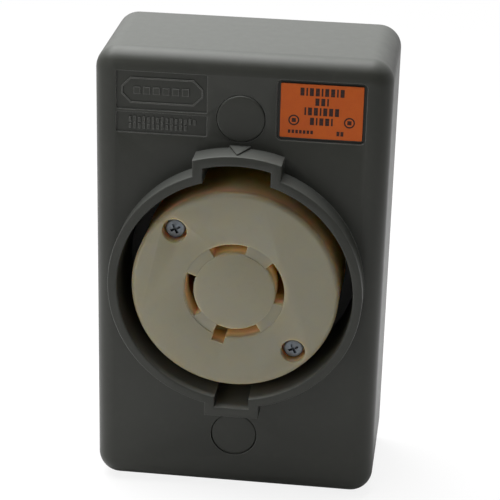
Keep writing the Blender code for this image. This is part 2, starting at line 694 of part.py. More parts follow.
def make_terminal_base():
    """The moulded back of the receptacle: its flange, the terminal pockets and the nuts' pockets."""
    base = turned(
        "terminal_base",
        [
            (0, BASE_FLANGE_FRONT),
            (FLANGE_RADIUS, BASE_FLANGE_FRONT),
            (FLANGE_RADIUS, BASE_FLANGE_REAR),
            (BASE_REAR_RADIUS, BASE_FLANGE_REAR),
            (BASE_REAR_RADIUS, BASE_REAR),
            (0, BASE_REAR),
        ],
        ROUND_STEPS,
    )
    for name in SLOT_ANGLES:
        cut_terminal(base, name)
    cut_assembly_holes(base)
    half = NUT_HALF_WIDTH + FIT_GAP
    for degrees in ASSEMBLY_SCREW_ANGLES.values():
        pocket = box("pocket", -half, half, BASE_REAR - NUT_POCKET_DEPTH, OVERRUN, -half, half)
        cut(base, turned_by(moved(pocket, ASSEMBLY_SCREW_RADIUS), degrees))
    cut(base, locating_notch())
    finish_piece(base, BLACK_PHENOLIC)


def make_contact(name):
    """A formed brass contact: two curved leaves on a web, a leg, and a plate for the terminal screw.

    It is made lying along +X, and turned to its slot.
    """
    start, end = SLOT_ANGLES[name]
    middle = terminal_angle(name)
    web_rear = CARRIER_REAR
    tip = BASE_FRONT + FIT_GAP
    half_angle = end - middle
    around = sector(LEAF_INNER, LEAF_OUTER, -half_angle, half_angle)
    contact = prism(f"contact_{name}", around, tip, web_rear)
    past_ends = half_angle + GAP_OVERRUN_ANGLE
    gap = sector(LEAF_INNER + LEAF_THICKNESS, LEAF_OUTER - LEAF_THICKNESS, -past_ends, past_ends)
    cut(contact, prism("gap", gap, tip - OVERRUN, web_rear - CONTACT_WEB))
    leg_start = LEAF_OUTER - 2 * LEAF_THICKNESS
    leg = box(
        "leg",
        leg_start,
        leg_start + LEAF_THICKNESS,
        web_rear - CONTACT_WEB / 2,
        TERMINAL_PLATE_FRONT + TERMINAL_PLATE_THICKNESS / 2,
        -LEG_HALF_WIDTH,
        LEG_HALF_WIDTH,
    )
    join(contact, leg)
    half = TERMINAL_PLATE_HALF_WIDTH
    front = TERMINAL_PLATE_FRONT
    rear = TERMINAL_PLATE_REAR
    plate_start = leg_start - TERMINAL_PLATE_LAP
    plate = box("plate", plate_start, TERMINAL_RADIUS + TERMINAL_PLATE_REACH, front, rear, -half, half)
    join(contact, plate)
    hole_radius = TERMINAL_SHANK_RADIUS + TERMINAL_HOLE_CLEARANCE
    hole = cylinder("hole", hole_radius, front - WALL, rear + WALL, SCREW_STEPS)
    cut(contact, moved(hole, TERMINAL_RADIUS))
    finish_piece(contact, BRASS, degrees=middle)


def make_terminal(name, screw_finish):
    """The clamp plate and the screw that presses it on the wire. Both origins are on the screw's axis."""
    degrees = terminal_angle(name)
    x, z = polar(TERMINAL_RADIUS, degrees)
    half = CLAMP_HALF_WIDTH
    inner = TERMINAL_RADIUS - (LEAF_OUTER - 2 * LEAF_THICKNESS)
    clamp = box(f"wire_clamp_{name}", -inner, TERMINAL_PLATE_REACH, 0, CLAMP_THICKNESS, -half, half)
    hole_radius = TERMINAL_SHANK_RADIUS + TERMINAL_HOLE_CLEARANCE
    cut(clamp, cylinder("hole", hole_radius, -WALL, CLAMP_THICKNESS + WALL, SCREW_STEPS))
    finish_piece(clamp, ZINC_STEEL, (x, CLAMP_FRONT, z), degrees)
    body = screw(
        f"terminal_screw_{name}",
        TERMINAL_HEAD_RADIUS,
        TERMINAL_HEAD_HEIGHT,
        TERMINAL_SHANK_RADIUS,
        TERMINAL_SHANK_LENGTH,
    )
    body.data.transform(Matrix.Rotation(math.pi, 4, "Z"))
    finish_piece(body, screw_finish, (x, CLAMP_REAR + FIT_GAP, z), degrees + 25)


def make_assembly_screws():
    seat = FACE + COUNTERBORE_DEPTH - FIT_GAP
    nut_front = BASE_REAR - NUT_POCKET_DEPTH + FIT_GAP
    tip = nut_front + NUT_THICKNESS + FIT_GAP
    for name, degrees in ASSEMBLY_SCREW_ANGLES.items():
        x, z = polar(ASSEMBLY_SCREW_RADIUS, degrees)
        body = screw(
            f"assembly_screw_{name}",
            ASSEMBLY_HEAD_RADIUS,
            ASSEMBLY_HEAD_HEIGHT,
            ASSEMBLY_SHANK_RADIUS,
            tip - seat,
            25,
        )
        finish_piece(body, ZINC_STEEL, (x, seat, z))
        half = NUT_HALF_WIDTH
        nut = box(f"assembly_nut_{name}", -half, half, 0, NUT_THICKNESS, -half, half)
        hole_radius = ASSEMBLY_SHANK_RADIUS + FIT_GAP / 2
        cut(nut, cylinder("hole", hole_radius, -WALL, NUT_THICKNESS + WALL, SCREW_STEPS))
        finish_piece(nut, ZINC_STEEL, (x, nut_front, z), degrees)


def make_retainer():
    """The steel ring behind the flange, with an ear at each of its four screws."""
    outer = FLANGE_RADIUS + RETAINER_OVERLAP
    plate = cylinder("retaining_plate", outer, RETAINER_FRONT, RETAINER_REAR, ROUND_STEPS)
    front = RETAINER_FRONT - WALL
    rear = RETAINER_REAR + WALL
    ear_root = FLANGE_RADIUS - RETAINER_BOSS_CENTRE
    ear_end = arc(RETAINER_EAR_RADIUS, -90, 90, 10)
    outline = [(ear_root, -RETAINER_EAR_RADIUS), *ear_end, (ear_root, RETAINER_EAR_RADIUS)]
    for degrees in RETAINER_BOSS_ANGLES.values():
        ear = prism("ear", outline, RETAINER_FRONT, RETAINER_REAR)
        join(plate, turned_by(moved(ear, RETAINER_BOSS_CENTRE), degrees))
        hole = cylinder("hole", RETAINER_HOLE_RADIUS, front, rear, SCREW_STEPS)
        cut(plate, turned_by(moved(hole, RETAINER_BOSS_CENTRE), degrees))
    cut(plate, cylinder("opening", BASE_REAR_RADIUS + FIT_GAP, front, rear, ROUND_STEPS))
    finish_piece(plate, ZINC_STEEL)
    for name, degrees in RETAINER_BOSS_ANGLES.items():
        x, z = polar(RETAINER_BOSS_CENTRE, degrees)
        body = screw(
            f"retaining_screw_{name}",
            RETAINER_HEAD_RADIUS,
            RETAINER_HEAD_HEIGHT,
            RETAINER_SHANK_RADIUS,
            RETAINER_SHANK_LENGTH - FLANGE_THICKNESS,
        )
        body.data.transform(Matrix.Rotation(math.pi, 4, "Z"))
        finish_piece(body, ZINC_STEEL, (x, RETAINER_REAR + FIT_GAP, z), 2 * degrees)


clear_scene()
make_housing()
make_label()
make_cap("screw_cap_top", 1, TOP_CAP_LIFT)
make_cap("screw_cap_bottom", -1, 0.0)
make_mounting_screws()
make_receptacle_face()
make_contact_carrier()
make_terminal_base()
for contact_name, contact_screw in (
    ("neutral", ZINC_STEEL),
    ("hot_x", BRASS),
    ("hot_y", BRASS),
    ("ground", GREEN_STEEL),
):
    make_contact(contact_name)
    make_terminal(contact_name, contact_screw)
make_assembly_screws()
make_retainer()
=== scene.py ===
"""A surface-mounted locking receptacle box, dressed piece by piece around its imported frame."""

import json
import math

import bmesh
import bpy
from mathutils import Matrix, Vector

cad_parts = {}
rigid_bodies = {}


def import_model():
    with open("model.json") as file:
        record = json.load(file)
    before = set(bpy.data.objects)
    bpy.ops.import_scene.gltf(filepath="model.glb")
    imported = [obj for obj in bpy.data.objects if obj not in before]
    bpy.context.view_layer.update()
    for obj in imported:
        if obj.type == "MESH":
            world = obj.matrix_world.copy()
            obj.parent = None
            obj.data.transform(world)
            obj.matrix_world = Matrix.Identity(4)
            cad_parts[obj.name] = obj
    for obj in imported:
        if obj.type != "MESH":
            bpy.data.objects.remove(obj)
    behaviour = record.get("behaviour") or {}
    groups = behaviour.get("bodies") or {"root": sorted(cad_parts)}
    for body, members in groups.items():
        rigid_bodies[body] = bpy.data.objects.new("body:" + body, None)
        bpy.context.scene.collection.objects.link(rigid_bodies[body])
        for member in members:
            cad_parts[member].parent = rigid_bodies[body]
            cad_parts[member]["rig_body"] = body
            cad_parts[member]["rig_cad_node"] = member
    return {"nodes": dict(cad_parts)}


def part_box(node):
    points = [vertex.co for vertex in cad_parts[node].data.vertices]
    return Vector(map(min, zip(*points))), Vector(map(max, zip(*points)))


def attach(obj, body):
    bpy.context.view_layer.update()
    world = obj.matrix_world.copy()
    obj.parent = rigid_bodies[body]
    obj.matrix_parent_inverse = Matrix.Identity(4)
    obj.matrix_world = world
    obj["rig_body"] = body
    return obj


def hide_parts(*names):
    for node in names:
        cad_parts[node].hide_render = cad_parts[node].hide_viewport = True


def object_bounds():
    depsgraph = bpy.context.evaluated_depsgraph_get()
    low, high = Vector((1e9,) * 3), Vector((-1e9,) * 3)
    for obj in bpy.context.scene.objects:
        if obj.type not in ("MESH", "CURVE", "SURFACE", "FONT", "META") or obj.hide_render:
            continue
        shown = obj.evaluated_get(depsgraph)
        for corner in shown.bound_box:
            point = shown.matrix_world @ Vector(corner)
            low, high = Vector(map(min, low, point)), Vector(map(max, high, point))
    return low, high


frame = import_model()
cad_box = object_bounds()
MM = 0.001

# The room
# White paper under the box and all round it, one large soft lamp overhead, a small weak one in front, and
# pale walls that are darker in front than behind. The box stands on its lower end.
PAPER_DROP = 0.2 * MM
PAPER_RADIUS = 1.2
PAPER_COLOUR = (0.82, 0.82, 0.82)
PAPER_FADE = (0.12, 0.6)  # how far out the paper starts and ends its change to plain white
PAPER_LIFT = 0.85
WALL_FADE = (-0.45, 0.35)  # from the walls in front to the walls behind
FRONT_FILL = (0.12, 0.12, 0.12)
BACK_FILL = (0.8, 0.8, 0.8)


def add_node(tree, kind, sockets=(), **settings):
    """Adds a node. Each of its sockets is joined to another node's output, or set to a value or a colour."""
    node = tree.nodes.new(kind)
    for setting, value in settings.items():
        setattr(node, setting, value)
    for name, value in sockets:
        socket = node.inputs[name]
        if isinstance(value, bpy.types.NodeSocket):
            tree.links.new(value, socket)
        else:
            socket.default_value = (*value, 1) if socket.type == "RGBA" else value
    return node


def add_parts(tree, coordinate):
    """The X, Y and Z parts of a texture coordinate."""
    place = add_node(tree, "ShaderNodeTexCoord")
    return add_node(tree, "ShaderNodeSeparateXYZ", ((0, place.outputs[coordinate]),)).outputs


def add_maths(tree, operation, first, second):
    return add_node(tree, "ShaderNodeMath", ((0, first), (1, second)), operation=operation).outputs[0]


def add_length(tree, vector):
    return add_node(tree, "ShaderNodeVectorMath", ((0, vector),), operation="LENGTH").outputs["Value"]


def add_range(tree, source, low, high, to_low=0.0, to_high=1.0, kind="LINEAR"):
    """Maps a value's span to another span."""
    spans = zip(("Value", "From Min", "From Max", "To Min", "To Max"), (source, low, high, to_low, to_high))
    return add_node(tree, "ShaderNodeMapRange", spans, interpolation_type=kind).outputs["Result"]


def add_mix(tree, factor, first, second):
    """Mixes two colours, each an output or a plain colour."""
    sockets = (("Factor", factor), ("A", first), ("B", second))
    return add_node(tree, "ShaderNodeMix", sockets, data_type="RGBA").outputs["Result"]


def new_material(name, base, roughness, metallic=0.0, specular=0.5):
    """A Principled material, returned with its node tree and its shader."""
    made = bpy.data.materials.new(name)
    made.use_nodes = True
    shader = made.node_tree.nodes["Principled BSDF"]
    shader.inputs["Base Color"].default_value = (*base, 1)
    shader.inputs["Roughness"].default_value = roughness
    shader.inputs["Metallic"].default_value = metallic
    shader.inputs["Specular IOR Level"].default_value = specular
    return made, made.node_tree, shader


def pale_walls(tree):
    """The camera sees the walls as plain white, and so does metal that mirrors the back of the room."""
    tree.nodes.clear()
    depth = add_range(tree, add_parts(tree, "Generated")["Y"], *WALL_FADE, kind="SMOOTHSTEP")
    walls = add_node(tree, "ShaderNodeBackground", (("Color", add_mix(tree, depth, FRONT_FILL, BACK_FILL)),))
    white = add_node(tree, "ShaderNodeBackground", (("Color", (1, 1, 1)),))
    rays = add_node(tree, "ShaderNodeLightPath").outputs
    shiny = add_maths(tree, "MAXIMUM", rays["Is Glossy Ray"], rays["Is Transmission Ray"])
    seen = add_maths(tree, "MAXIMUM", add_maths(tree, "MULTIPLY", shiny, depth), rays["Is Camera Ray"])
    sockets = ((0, seen), (1, walls.outputs[0]), (2, white.outputs[0]))
    room = add_node(tree, "ShaderNodeMixShader", sockets)
    add_node(tree, "ShaderNodeOutputWorld", (("Surface", room.outputs[0]),))


def white_paper():
    """Matt white paper, which the camera sees fade to plain white away from the box."""
    made, tree, shader = new_material("white_paper", PAPER_COLOUR, 0.9, 0.0, 0.1)
    far = add_length(tree, add_node(tree, "ShaderNodeTexCoord").outputs["Object"])
    fade = add_range(tree, far, *PAPER_FADE, PAPER_LIFT, kind="SMOOTHSTEP")
    seen = add_maths(tree, "MULTIPLY", fade, add_node(tree, "ShaderNodeLightPath").outputs["Is Camera Ray"])
    glow = add_node(tree, "ShaderNodeEmission")
    sockets = ((0, seen), (1, shader.outputs[0]), (2, glow.outputs[0]))
    surface = add_node(tree, "ShaderNodeMixShader", sockets)
    tree.links.new(surface.outputs[0], tree.nodes["Material Output"].inputs["Surface"])
    return made


def soft_lamp(name, place, aim, size, power):
    """A square soft box that faces a point on the object."""
    lamp = bpy.data.lights.new(name, "AREA")
    lamp.size = size
    lamp.energy = power
    holder = bpy.data.objects.new(name, lamp)
    scene.collection.objects.link(holder)
    holder.location = place
    holder.rotation_euler = (Vector(aim) - Vector(place)).to_track_quat("-Z", "Y").to_euler()
    holder.visible_camera = False


scene = bpy.context.scene
scene.view_settings.view_transform = "Standard"
scene.world = bpy.data.worlds.new("white_room")
scene.world.use_nodes = True
pale_walls(scene.world.node_tree)
floor_place = (0, 0, cad_box[0][2] - PAPER_DROP)
bpy.ops.mesh.primitive_circle_add(vertices=96, radius=PAPER_RADIUS, fill_type="NGON", location=floor_place)
paper = bpy.context.object
paper.name = "paper_floor"
paper.data.materials.append(white_paper())
soft_lamp("overhead_lamp", (-0.14, 0.05, 0.52), (0, -0.01, 0.04), 0.5, 6.5)
soft_lamp("front_lamp", (-0.22, -0.25, 0.14), (0, -0.02, 0.01), 0.25, 0.3)

# Camera
# It stands in front of the box, a little to the right, and looks down on it through a long lens. It is
# tilted by a degree and a half, as a camera held in the hand is.
CAMERA_LENS = 125.8
CAMERA_AZIMUTH = math.radians(6.249)
CAMERA_ELEVATION = math.radians(22.241)
CAMERA_ROLL = math.radians(-1.509)
CAMERA_DISTANCE = 436.1 * MM
CAMERA_TARGET = Vector((1.426, -20.0, 2.998)) * MM

level = math.cos(CAMERA_ELEVATION)
aside = math.sin(CAMERA_AZIMUTH) * level
back = Vector((aside, -math.cos(CAMERA_AZIMUTH) * level, math.sin(CAMERA_ELEVATION)))
right = back.cross(Vector((0, 0, -1))).normalized()
down = (-back).cross(right)
turned_right = math.cos(CAMERA_ROLL) * right + math.sin(CAMERA_ROLL) * down
turned_down = -math.sin(CAMERA_ROLL) * right + math.cos(CAMERA_ROLL) * down
camera_data = bpy.data.cameras.new("camera")
camera_data.lens = CAMERA_LENS
camera_data.sensor_width = 36.0
camera_data.clip_start = 0.01
camera = bpy.data.objects.new("camera", camera_data)
scene.collection.objects.link(camera)
axes = Matrix((turned_right, -turned_down, back)).transposed().to_4x4()
camera.matrix_world = Matrix.Translation(CAMERA_TARGET + back * CAMERA_DISTANCE) @ axes
scene.camera = camera

# Housing
# One moulded shell of grey thermoplastic, open at the back: a drafted box with a rounded front, and a
# raised collar with a key window at the top and a notch at the bottom. Its well takes the plug's shroud.
housing_low, housing_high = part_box("housing")
FRONT = -34.0 * MM
DRAFT = 0.4 * MM
CORNER_RADIUS = 5.6 * MM
FRONT_EDGE_RADIUS = 4.7 * MM
WALL = 2.5 * MM
COLLAR_RADIUS = 30.8 * MM
WELL_RADIUS = 28.5 * MM
WELL_FLOOR_FRONT = -19.4 * MM
WELL_FLOOR_REAR = -16.9 * MM
WELL_HOLE_RADIUS = 25.4 * MM
KEY_WALL = 2.5 * MM
TOP_KEY_HALF_WIDTH = 8.0 * MM
TOP_KEY_REACH = 32.0 * MM
BOTTOM_KEY_HALF_WIDTH = 4.2 * MM
BOTTOM_KEY_REACH = 31.0 * MM
RIM_ROUNDING = 0.35 * MM
PAST = 5 * MM  # how far a cutter runs past the wall it cuts
RIM = housing_low.y
OUTER_X = housing_high.x
OUTER_Z = housing_high.z
EAR_TOP = TOP_KEY_REACH + KEY_WALL
FLOOR_TAPER = (0.93, 1, 0.955)  # how the shell's hollow narrows at its front
FLOOR_TAPER_DEPTH = 3 * MM
ROUND_STEPS = 160
ARROW_HALF_WIDTH = 3.03 * MM
ARROW_HEIGHT = 0.5 * MM
ARROW_SETBACK = 0.8 * MM
ARROW_TIP = 0.06  # the pointed end's share of the arrow's width
ARROW_ROUNDING = 0.15 * MM
POST_BITE = 0.6 * MM
SCREW_PLACE = 41.65 * MM
MOUNT_POST_RADIUS = 6.6 * MM
MOUNT_POST_END = -2.2 * MM
MOUNT_BORE_RADIUS = 4.4 * MM
MOUNT_HOLE_RADIUS = 2.1 * MM
MOUNT_SEAT = -12.0 * MM
CAP_RECESS_RADIUS = 5.8 * MM
CAP_RECESS = 1.6 * MM
CAP_RECESS_ROUNDING = 0.25 * MM
RIB_HALF_WIDTH = 1 * MM
RETAINER_ANGLES = {"upper_right": 50, "upper_left": 130, "lower_left": -130, "lower_right": -50}
RETAINER_RADIUS = 34.9 * MM
RETAINER_POST_RADIUS = 3.4 * MM
RETAINER_POST_END = -11.3 * MM
RETAINER_HOLE_RADIUS = 1.5 * MM
RETAINER_HOLE_START = -24.0 * MM
LOCATING_RIB_START = 26.8 * MM
LOCATING_RIB_END = -11.3 * MM
LOCATING_RIB_HALF_WIDTH = 1.5 * MM
LABEL_MARGIN = 0.4 * MM
LABEL_RECESS = 0.8 * MM
LABEL_RECESS_CORNER = 1.2 * MM
PANEL_LEFT = -29.65 * MM
PANEL_RIGHT = -8.05 * MM
PANEL_UPPER = (42.45 * MM, 51.75 * MM)
PANEL_LOWER = (36.75 * MM, 41.75 * MM)
PANEL_RECESS = 0.5 * MM
PANEL_CORNER = 0.3 * MM
LIP_ROUNDING = 0.15 * MM
GREY_DARK = (0.0245, 0.0255, 0.0215)
GREY_LIGHT = (0.028, 0.029, 0.0245)
GREY_DUST = (0.044, 0.0435, 0.039)
# A pale edge colour: partly wear, mostly a painted highlight where edges catch the light.
GREY_EDGE_HIGHLIGHT = (0.13, 0.13, 0.122)
# A painted highlight: faces that look up are lighter, as the lamp above lights them.
GREY_TOP_LIGHT = (0.14, 0.146, 0.137)
# Painted shade for the deep well's wall.
WELL_SHADE = (0.010, 0.008, 0.006)


def deselect():
    if bpy.context.object and bpy.context.object.mode != "OBJECT":
        bpy.ops.object.mode_set(mode="OBJECT")
    bpy.ops.object.select_all(action="DESELECT")


def only(piece):
    """Makes a piece the one selected, active object."""
    deselect()
    piece.select_set(True)
    bpy.context.view_layer.objects.active = piece


def named(name):
    """Names the new primitive and puts its place into its mesh."""
    piece = bpy.context.object
    piece.name = name
    piece.data.name = name
    bpy.ops.object.transform_apply(location=True, rotation=True, scale=True)
    return piece


def block(name, low, high):
    deselect()
    middle = [(a + b) / 2 for a, b in zip(low, high)]
    size = [b - a for a, b in zip(low, high)]
    bpy.ops.mesh.primitive_cube_add(size=1, location=middle, scale=size)
    return named(name)


def rod(name, radius, front, back_end, x=0.0, z=0.0, steps=96):
    """A round bar along Y."""
    deselect()
    bpy.ops.mesh.primitive_cylinder_add(
        vertices=steps,
        radius=radius,
        depth=back_end - front,
        location=(x, (front + back_end) / 2, z),
        rotation=(math.pi / 2, 0, 0),
    )
    return named(name)


def pick(piece, kind, test):
    """Goes into edit mode with just the faces or edges selected that pass a test."""
    only(piece)
    bpy.ops.object.mode_set(mode="EDIT")
    bpy.ops.mesh.select_all(action="DESELECT")
    bpy.ops.mesh.select_mode(type="FACE" if kind == "faces" else "EDGE")
    mesh = bmesh.from_edit_mesh(piece.data)
    for element in getattr(mesh, kind):
        if test(element):
            element.select_set(True)
    mesh.select_flush_mode()
    bmesh.update_edit_mesh(piece.data)


def done():
    bpy.ops.object.mode_set(mode="OBJECT")


def centre(edge):
    return (edge.verts[0].co + edge.verts[1].co) / 2


def flat_in(edge, level, tolerance=0.002 * MM):
    """Whether an edge lies in the plane y = level."""
    return all(abs(vert.co.y - level) < tolerance for vert in edge.verts)


def runs_back(edge, least=0.01 * MM):
    """Whether an edge runs from front to back, and not across."""
    return abs(edge.verts[0].co.y - edge.verts[1].co.y) > least


def sharp(edge, degrees=30):
    return len(edge.link_faces) == 2 and edge.calc_face_angle(0) > math.radians(degrees)


def brim(level, degrees=60):
    """A test for the sharp outward edges in the plane y = level."""
    return lambda edge: flat_in(edge, level) and sharp(edge, degrees) and edge.is_convex


def combine(piece, other, operation):
    """Joins another shape to a piece, or cuts with it, and removes that shape."""
    only(piece)
    step = piece.modifiers.new("combine", "BOOLEAN")
    step.operation = operation
    step.object = other
    bpy.ops.object.modifier_apply(modifier=step.name)
    bpy.data.objects.remove(other)
    return piece


def join(piece, other):
    return combine(piece, other, "UNION")


def cut(piece, other):
    return combine(piece, other, "DIFFERENCE")


def clean(piece, merge=0.002 * MM, flat_degrees=0.5):
    """Merges doubled points, makes flat areas one face each, and turns the faces outwards."""
    pick(piece, "faces", lambda face: True)
    bpy.ops.mesh.remove_doubles(threshold=merge)
    bpy.ops.mesh.dissolve_degenerate(threshold=merge)
    bpy.ops.mesh.dissolve_limited(angle_limit=math.radians(flat_degrees))
    bpy.ops.mesh.normals_make_consistent(inside=False)
    done()


def round_edges(piece, width, test, segments=3):
    pick(piece, "edges", test)
    bpy.ops.mesh.bevel(offset=width, segments=segments, affect="EDGES", clamp_overlap=False)
    done()


def smooth(piece, degrees=32):
    only(piece)
    bpy.ops.object.shade_smooth_by_angle(angle=math.radians(degrees))


def keyed_block(name, grow, front, back_end):
    """The plug shroud's outline: a circle with a wide key at the top and a narrow one at the bottom."""
    body = rod(name, WELL_RADIUS + grow, front, back_end, steps=ROUND_STEPS)
    key_grow = grow * KEY_WALL / (COLLAR_RADIUS - WELL_RADIUS)
    wide = TOP_KEY_HALF_WIDTH + key_grow
    top = rod("top_key", TOP_KEY_REACH + key_grow, front, back_end, steps=ROUND_STEPS)
    combine(top, block("top_key_sides", (-wide, front - PAST, 0), (wide, back_end + PAST, 0.1)), "INTERSECT")
    narrow = BOTTOM_KEY_HALF_WIDTH + key_grow
    reach = BOTTOM_KEY_REACH + key_grow
    join(body, top)
    join(body, block("bottom_key", (-narrow, front, -reach), (narrow, back_end, 0)))
    clean(body)
    return body


def rounded_slab(name, low, high, corner, segments=4):
    """A block whose four edges along Y are rounded."""
    slab = block(name, low, high)
    round_edges(slab, corner, runs_back, segments)
    return slab


def make_shell():
    """The drafted box, rounded at its front and hollowed from behind."""
    shell = block("housing_shell", (-OUTER_X, FRONT, -OUTER_Z), (OUTER_X, 0, OUTER_Z))
    pick(shell, "faces", lambda face: face.normal.y < -0.9)
    shrink = (1 - DRAFT / OUTER_X, 1, 1 - DRAFT / OUTER_Z)
    bpy.ops.transform.resize(value=shrink, center_override=(0, FRONT, 0))
    done()
    round_edges(shell, CORNER_RADIUS, lambda edge: runs_back(edge, WALL), 12)
    round_edges(shell, FRONT_EDGE_RADIUS, lambda edge: flat_in(edge, FRONT) and sharp(edge), 12)
    pick(shell, "faces", lambda face: face.normal.y > 0.9)
    bpy.ops.mesh.inset(thickness=WALL)
    for step in (FRONT + WALL + FLOOR_TAPER_DEPTH, -FLOOR_TAPER_DEPTH):
        bpy.ops.mesh.extrude_region_move(TRANSFORM_OT_translate={"value": (0, step, 0)})
    bpy.ops.transform.resize(value=FLOOR_TAPER, center_override=(0, FRONT + WALL, 0))
    done()
    return shell


def make_collar():
    """The keyed wall round the well, with the well's floor."""
    wall = COLLAR_RADIUS - WELL_RADIUS
    collar = keyed_block("collar", wall, RIM, WELL_FLOOR_REAR)
    cut(collar, keyed_block("well", 0, RIM - PAST, WELL_FLOOR_FRONT))
    clean(collar)
    round_edges(collar, RIM_ROUNDING, lambda edge: flat_in(edge, RIM) and sharp(edge))
    cut(collar, rod("well_hole", WELL_HOLE_RADIUS, WELL_FLOOR_FRONT - PAST, 0, steps=ROUND_STEPS))
    return collar


def make_arrow():
    """The pointer moulded on top of the collar's upper ear, which shows where the plug's wide key goes."""
    tip = RIM + ARROW_SETBACK
    top = EAR_TOP + ARROW_HEIGHT
    low = (-ARROW_HALF_WIDTH, tip, EAR_TOP - 1 * MM)
    arrow = block("arrow", low, (ARROW_HALF_WIDTH, FRONT + WALL / 2, top))
    pick(arrow, "edges", lambda edge: flat_in(edge, tip) and abs(centre(edge).x) > 1 * MM)
    bpy.ops.transform.resize(value=(ARROW_TIP, 1, 1), center_override=(0, tip, EAR_TOP))
    done()
    round_edges(arrow, ARROW_ROUNDING, lambda edge: centre(edge).z > top - 0.01 * MM, 2)
    clean(arrow)
    return arrow


def polar(radius, degrees):
    return radius * math.cos(math.radians(degrees)), radius * math.sin(math.radians(degrees))


def add_posts(shell):
    """Posts for the two mounting screws and the four retaining screws, with ribs to the end walls."""
    inside = FRONT + WALL - POST_BITE
    for side, reach in ((1, TOP_KEY_REACH), (-1, BOTTOM_KEY_REACH)):
        z = side * SCREW_PLACE
        near, far = reach + KEY_WALL - POST_BITE, OUTER_Z - DRAFT - WALL + POST_BITE
        low, high = sorted((side * near, side * far))
        rib_end = WELL_FLOOR_REAR - WALL
        join(shell, block("rib", (-RIB_HALF_WIDTH, inside, low), (RIB_HALF_WIDTH, rib_end, high)))
        join(shell, rod("post", MOUNT_POST_RADIUS, inside, MOUNT_POST_END, 0, z, 64))
        cut(shell, rod("bore", MOUNT_BORE_RADIUS, FRONT, MOUNT_SEAT, 0, z, 64))
        cut(shell, rod("hole", MOUNT_HOLE_RADIUS, MOUNT_SEAT - 1 * MM, PAST, 0, z, 48))
        recess = rod("recess", CAP_RECESS_RADIUS, FRONT - PAST, FRONT + CAP_RECESS, 0, z, 96)
        round_edges(recess, CAP_RECESS_ROUNDING, lambda edge: flat_in(edge, FRONT + CAP_RECESS), 2)
        cut(shell, recess)
    for degrees in RETAINER_ANGLES.values():
        x, z = polar(RETAINER_RADIUS, degrees)
        join(shell, rod("post", RETAINER_POST_RADIUS, inside, RETAINER_POST_END, x, z, 48))
        cut(shell, rod("hole", RETAINER_HOLE_RADIUS, RETAINER_HOLE_START, 0, x, z, 32))
    rib = block(
        "locating_rib",
        (LOCATING_RIB_START, WELL_FLOOR_REAR - POST_BITE, -LOCATING_RIB_HALF_WIDTH),
        (COLLAR_RADIUS - POST_BITE, LOCATING_RIB_END, LOCATING_RIB_HALF_WIDTH),
    )
    join(shell, rib)


def cut_fields(shell):
    """The label's recess, and the marking panel's two recesses with a bar between them."""
    label_low, label_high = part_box("rating_label")
    low = (label_low.x - LABEL_MARGIN, FRONT - PAST, label_low.z - LABEL_MARGIN)
    high = (label_high.x + LABEL_MARGIN, FRONT + LABEL_RECESS, label_high.z + LABEL_MARGIN)
    cut(shell, rounded_slab("recess", low, high, LABEL_RECESS_CORNER))
    for bottom, top in (PANEL_UPPER, PANEL_LOWER):
        low = (PANEL_LEFT, FRONT - PAST, bottom)
        high = (PANEL_RIGHT, FRONT + PANEL_RECESS, top)
        cut(shell, rounded_slab("field", low, high, PANEL_CORNER, 3))


def make_housing():
    shell = make_shell()
    grow = (COLLAR_RADIUS - WELL_RADIUS) / 2
    cut(shell, keyed_block("well_way", grow, RIM - PAST, WELL_FLOOR_REAR))
    join(shell, make_collar())
    join(shell, make_arrow())
    add_posts(shell)
    cut_fields(shell)
    clean(shell)
    round_edges(shell, LIP_ROUNDING, brim(FRONT), 2)
    clean(shell, flat_degrees=0.2)
    smooth(shell)
    return shell


def add_noise(tree, per_metre, detail=4.0, roughness=0.55, stretch=(1, 1, 1)):
    """Noise in the object's own metres."""
    place = add_node(tree, "ShaderNodeTexCoord").outputs["Object"]
    stretched = add_node(tree, "ShaderNodeMapping", (("Vector", place), ("Scale", stretch)))
    size = (("Scale", per_metre), ("Detail", detail), ("Roughness", roughness))
    return add_node(tree, "ShaderNodeTexNoise", (("Vector", stretched.outputs[0]), *size)).outputs["Fac"]


def add_tint(tree, source, low, high, most, under, over):
    """Lays one colour over another, up to most of it, as a value rises from low to high."""
    return add_mix(tree, add_range(tree, source, low, high, 0.0, most), under, over)


def add_bump(tree, shader, height, distance, strength, under=None):
    """A bump from a height, on top of an earlier bump if one is given."""
    sockets = (("Height", height), ("Distance", distance), ("Strength", strength))
    bump = add_node(tree, "ShaderNodeBump", sockets)
    if under:
        tree.links.new(under, bump.inputs["Normal"])
    tree.links.new(bump.outputs["Normal"], shader.inputs["Normal"])
    return bump.outputs["Normal"]


def lay_finish(tree, shader, colour, source, spans):
    """Gives the shader its colour, and a roughness that follows a value."""
    tree.links.new(colour, shader.inputs["Base Color"])
    tree.links.new(add_range(tree, source, *spans), shader.inputs["Roughness"])


def edge_mask(tree, radius):
    """Bright where the surface turns an edge, within a radius."""
    bevel = add_node(tree, "ShaderNodeBevel", (("Radius", radius),), samples=6)
    surface = add_node(tree, "ShaderNodeNewGeometry")
    normals = ((0, bevel.outputs["Normal"]), (1, surface.outputs["Normal"]))
    meet = add_node(tree, "ShaderNodeVectorMath", normals, operation="DOT_PRODUCT")
    return add_range(tree, meet.outputs["Value"], 0.995, 0.85)


def well_shade_mask(tree):
    """A mask of the well's wall for painted shade, which rises with depth and stops short of the well's
    floor.
    """
    radius = WELL_RADIUS + 0.05 * MM
    front = RIM + 4 * MM
    floor = WELL_FLOOR_FRONT + 0.3 * MM
    parts = add_parts(tree, "Object")
    across = add_node(tree, "ShaderNodeCombineXYZ", (("X", parts["X"]), ("Z", parts["Z"])))
    near = add_range(tree, add_length(tree, across.outputs[0]), radius, radius + 0.01 * MM, 1.0, 0.0)
    deep = add_range(tree, parts["Y"], front, front + 8 * MM, 0.0, 0.8)
    stop = add_range(tree, parts["Y"], floor, floor + 0.01 * MM, 1.0, 0.0)
    return add_maths(tree, "MULTIPLY", add_maths(tree, "MULTIPLY", near, deep), stop)


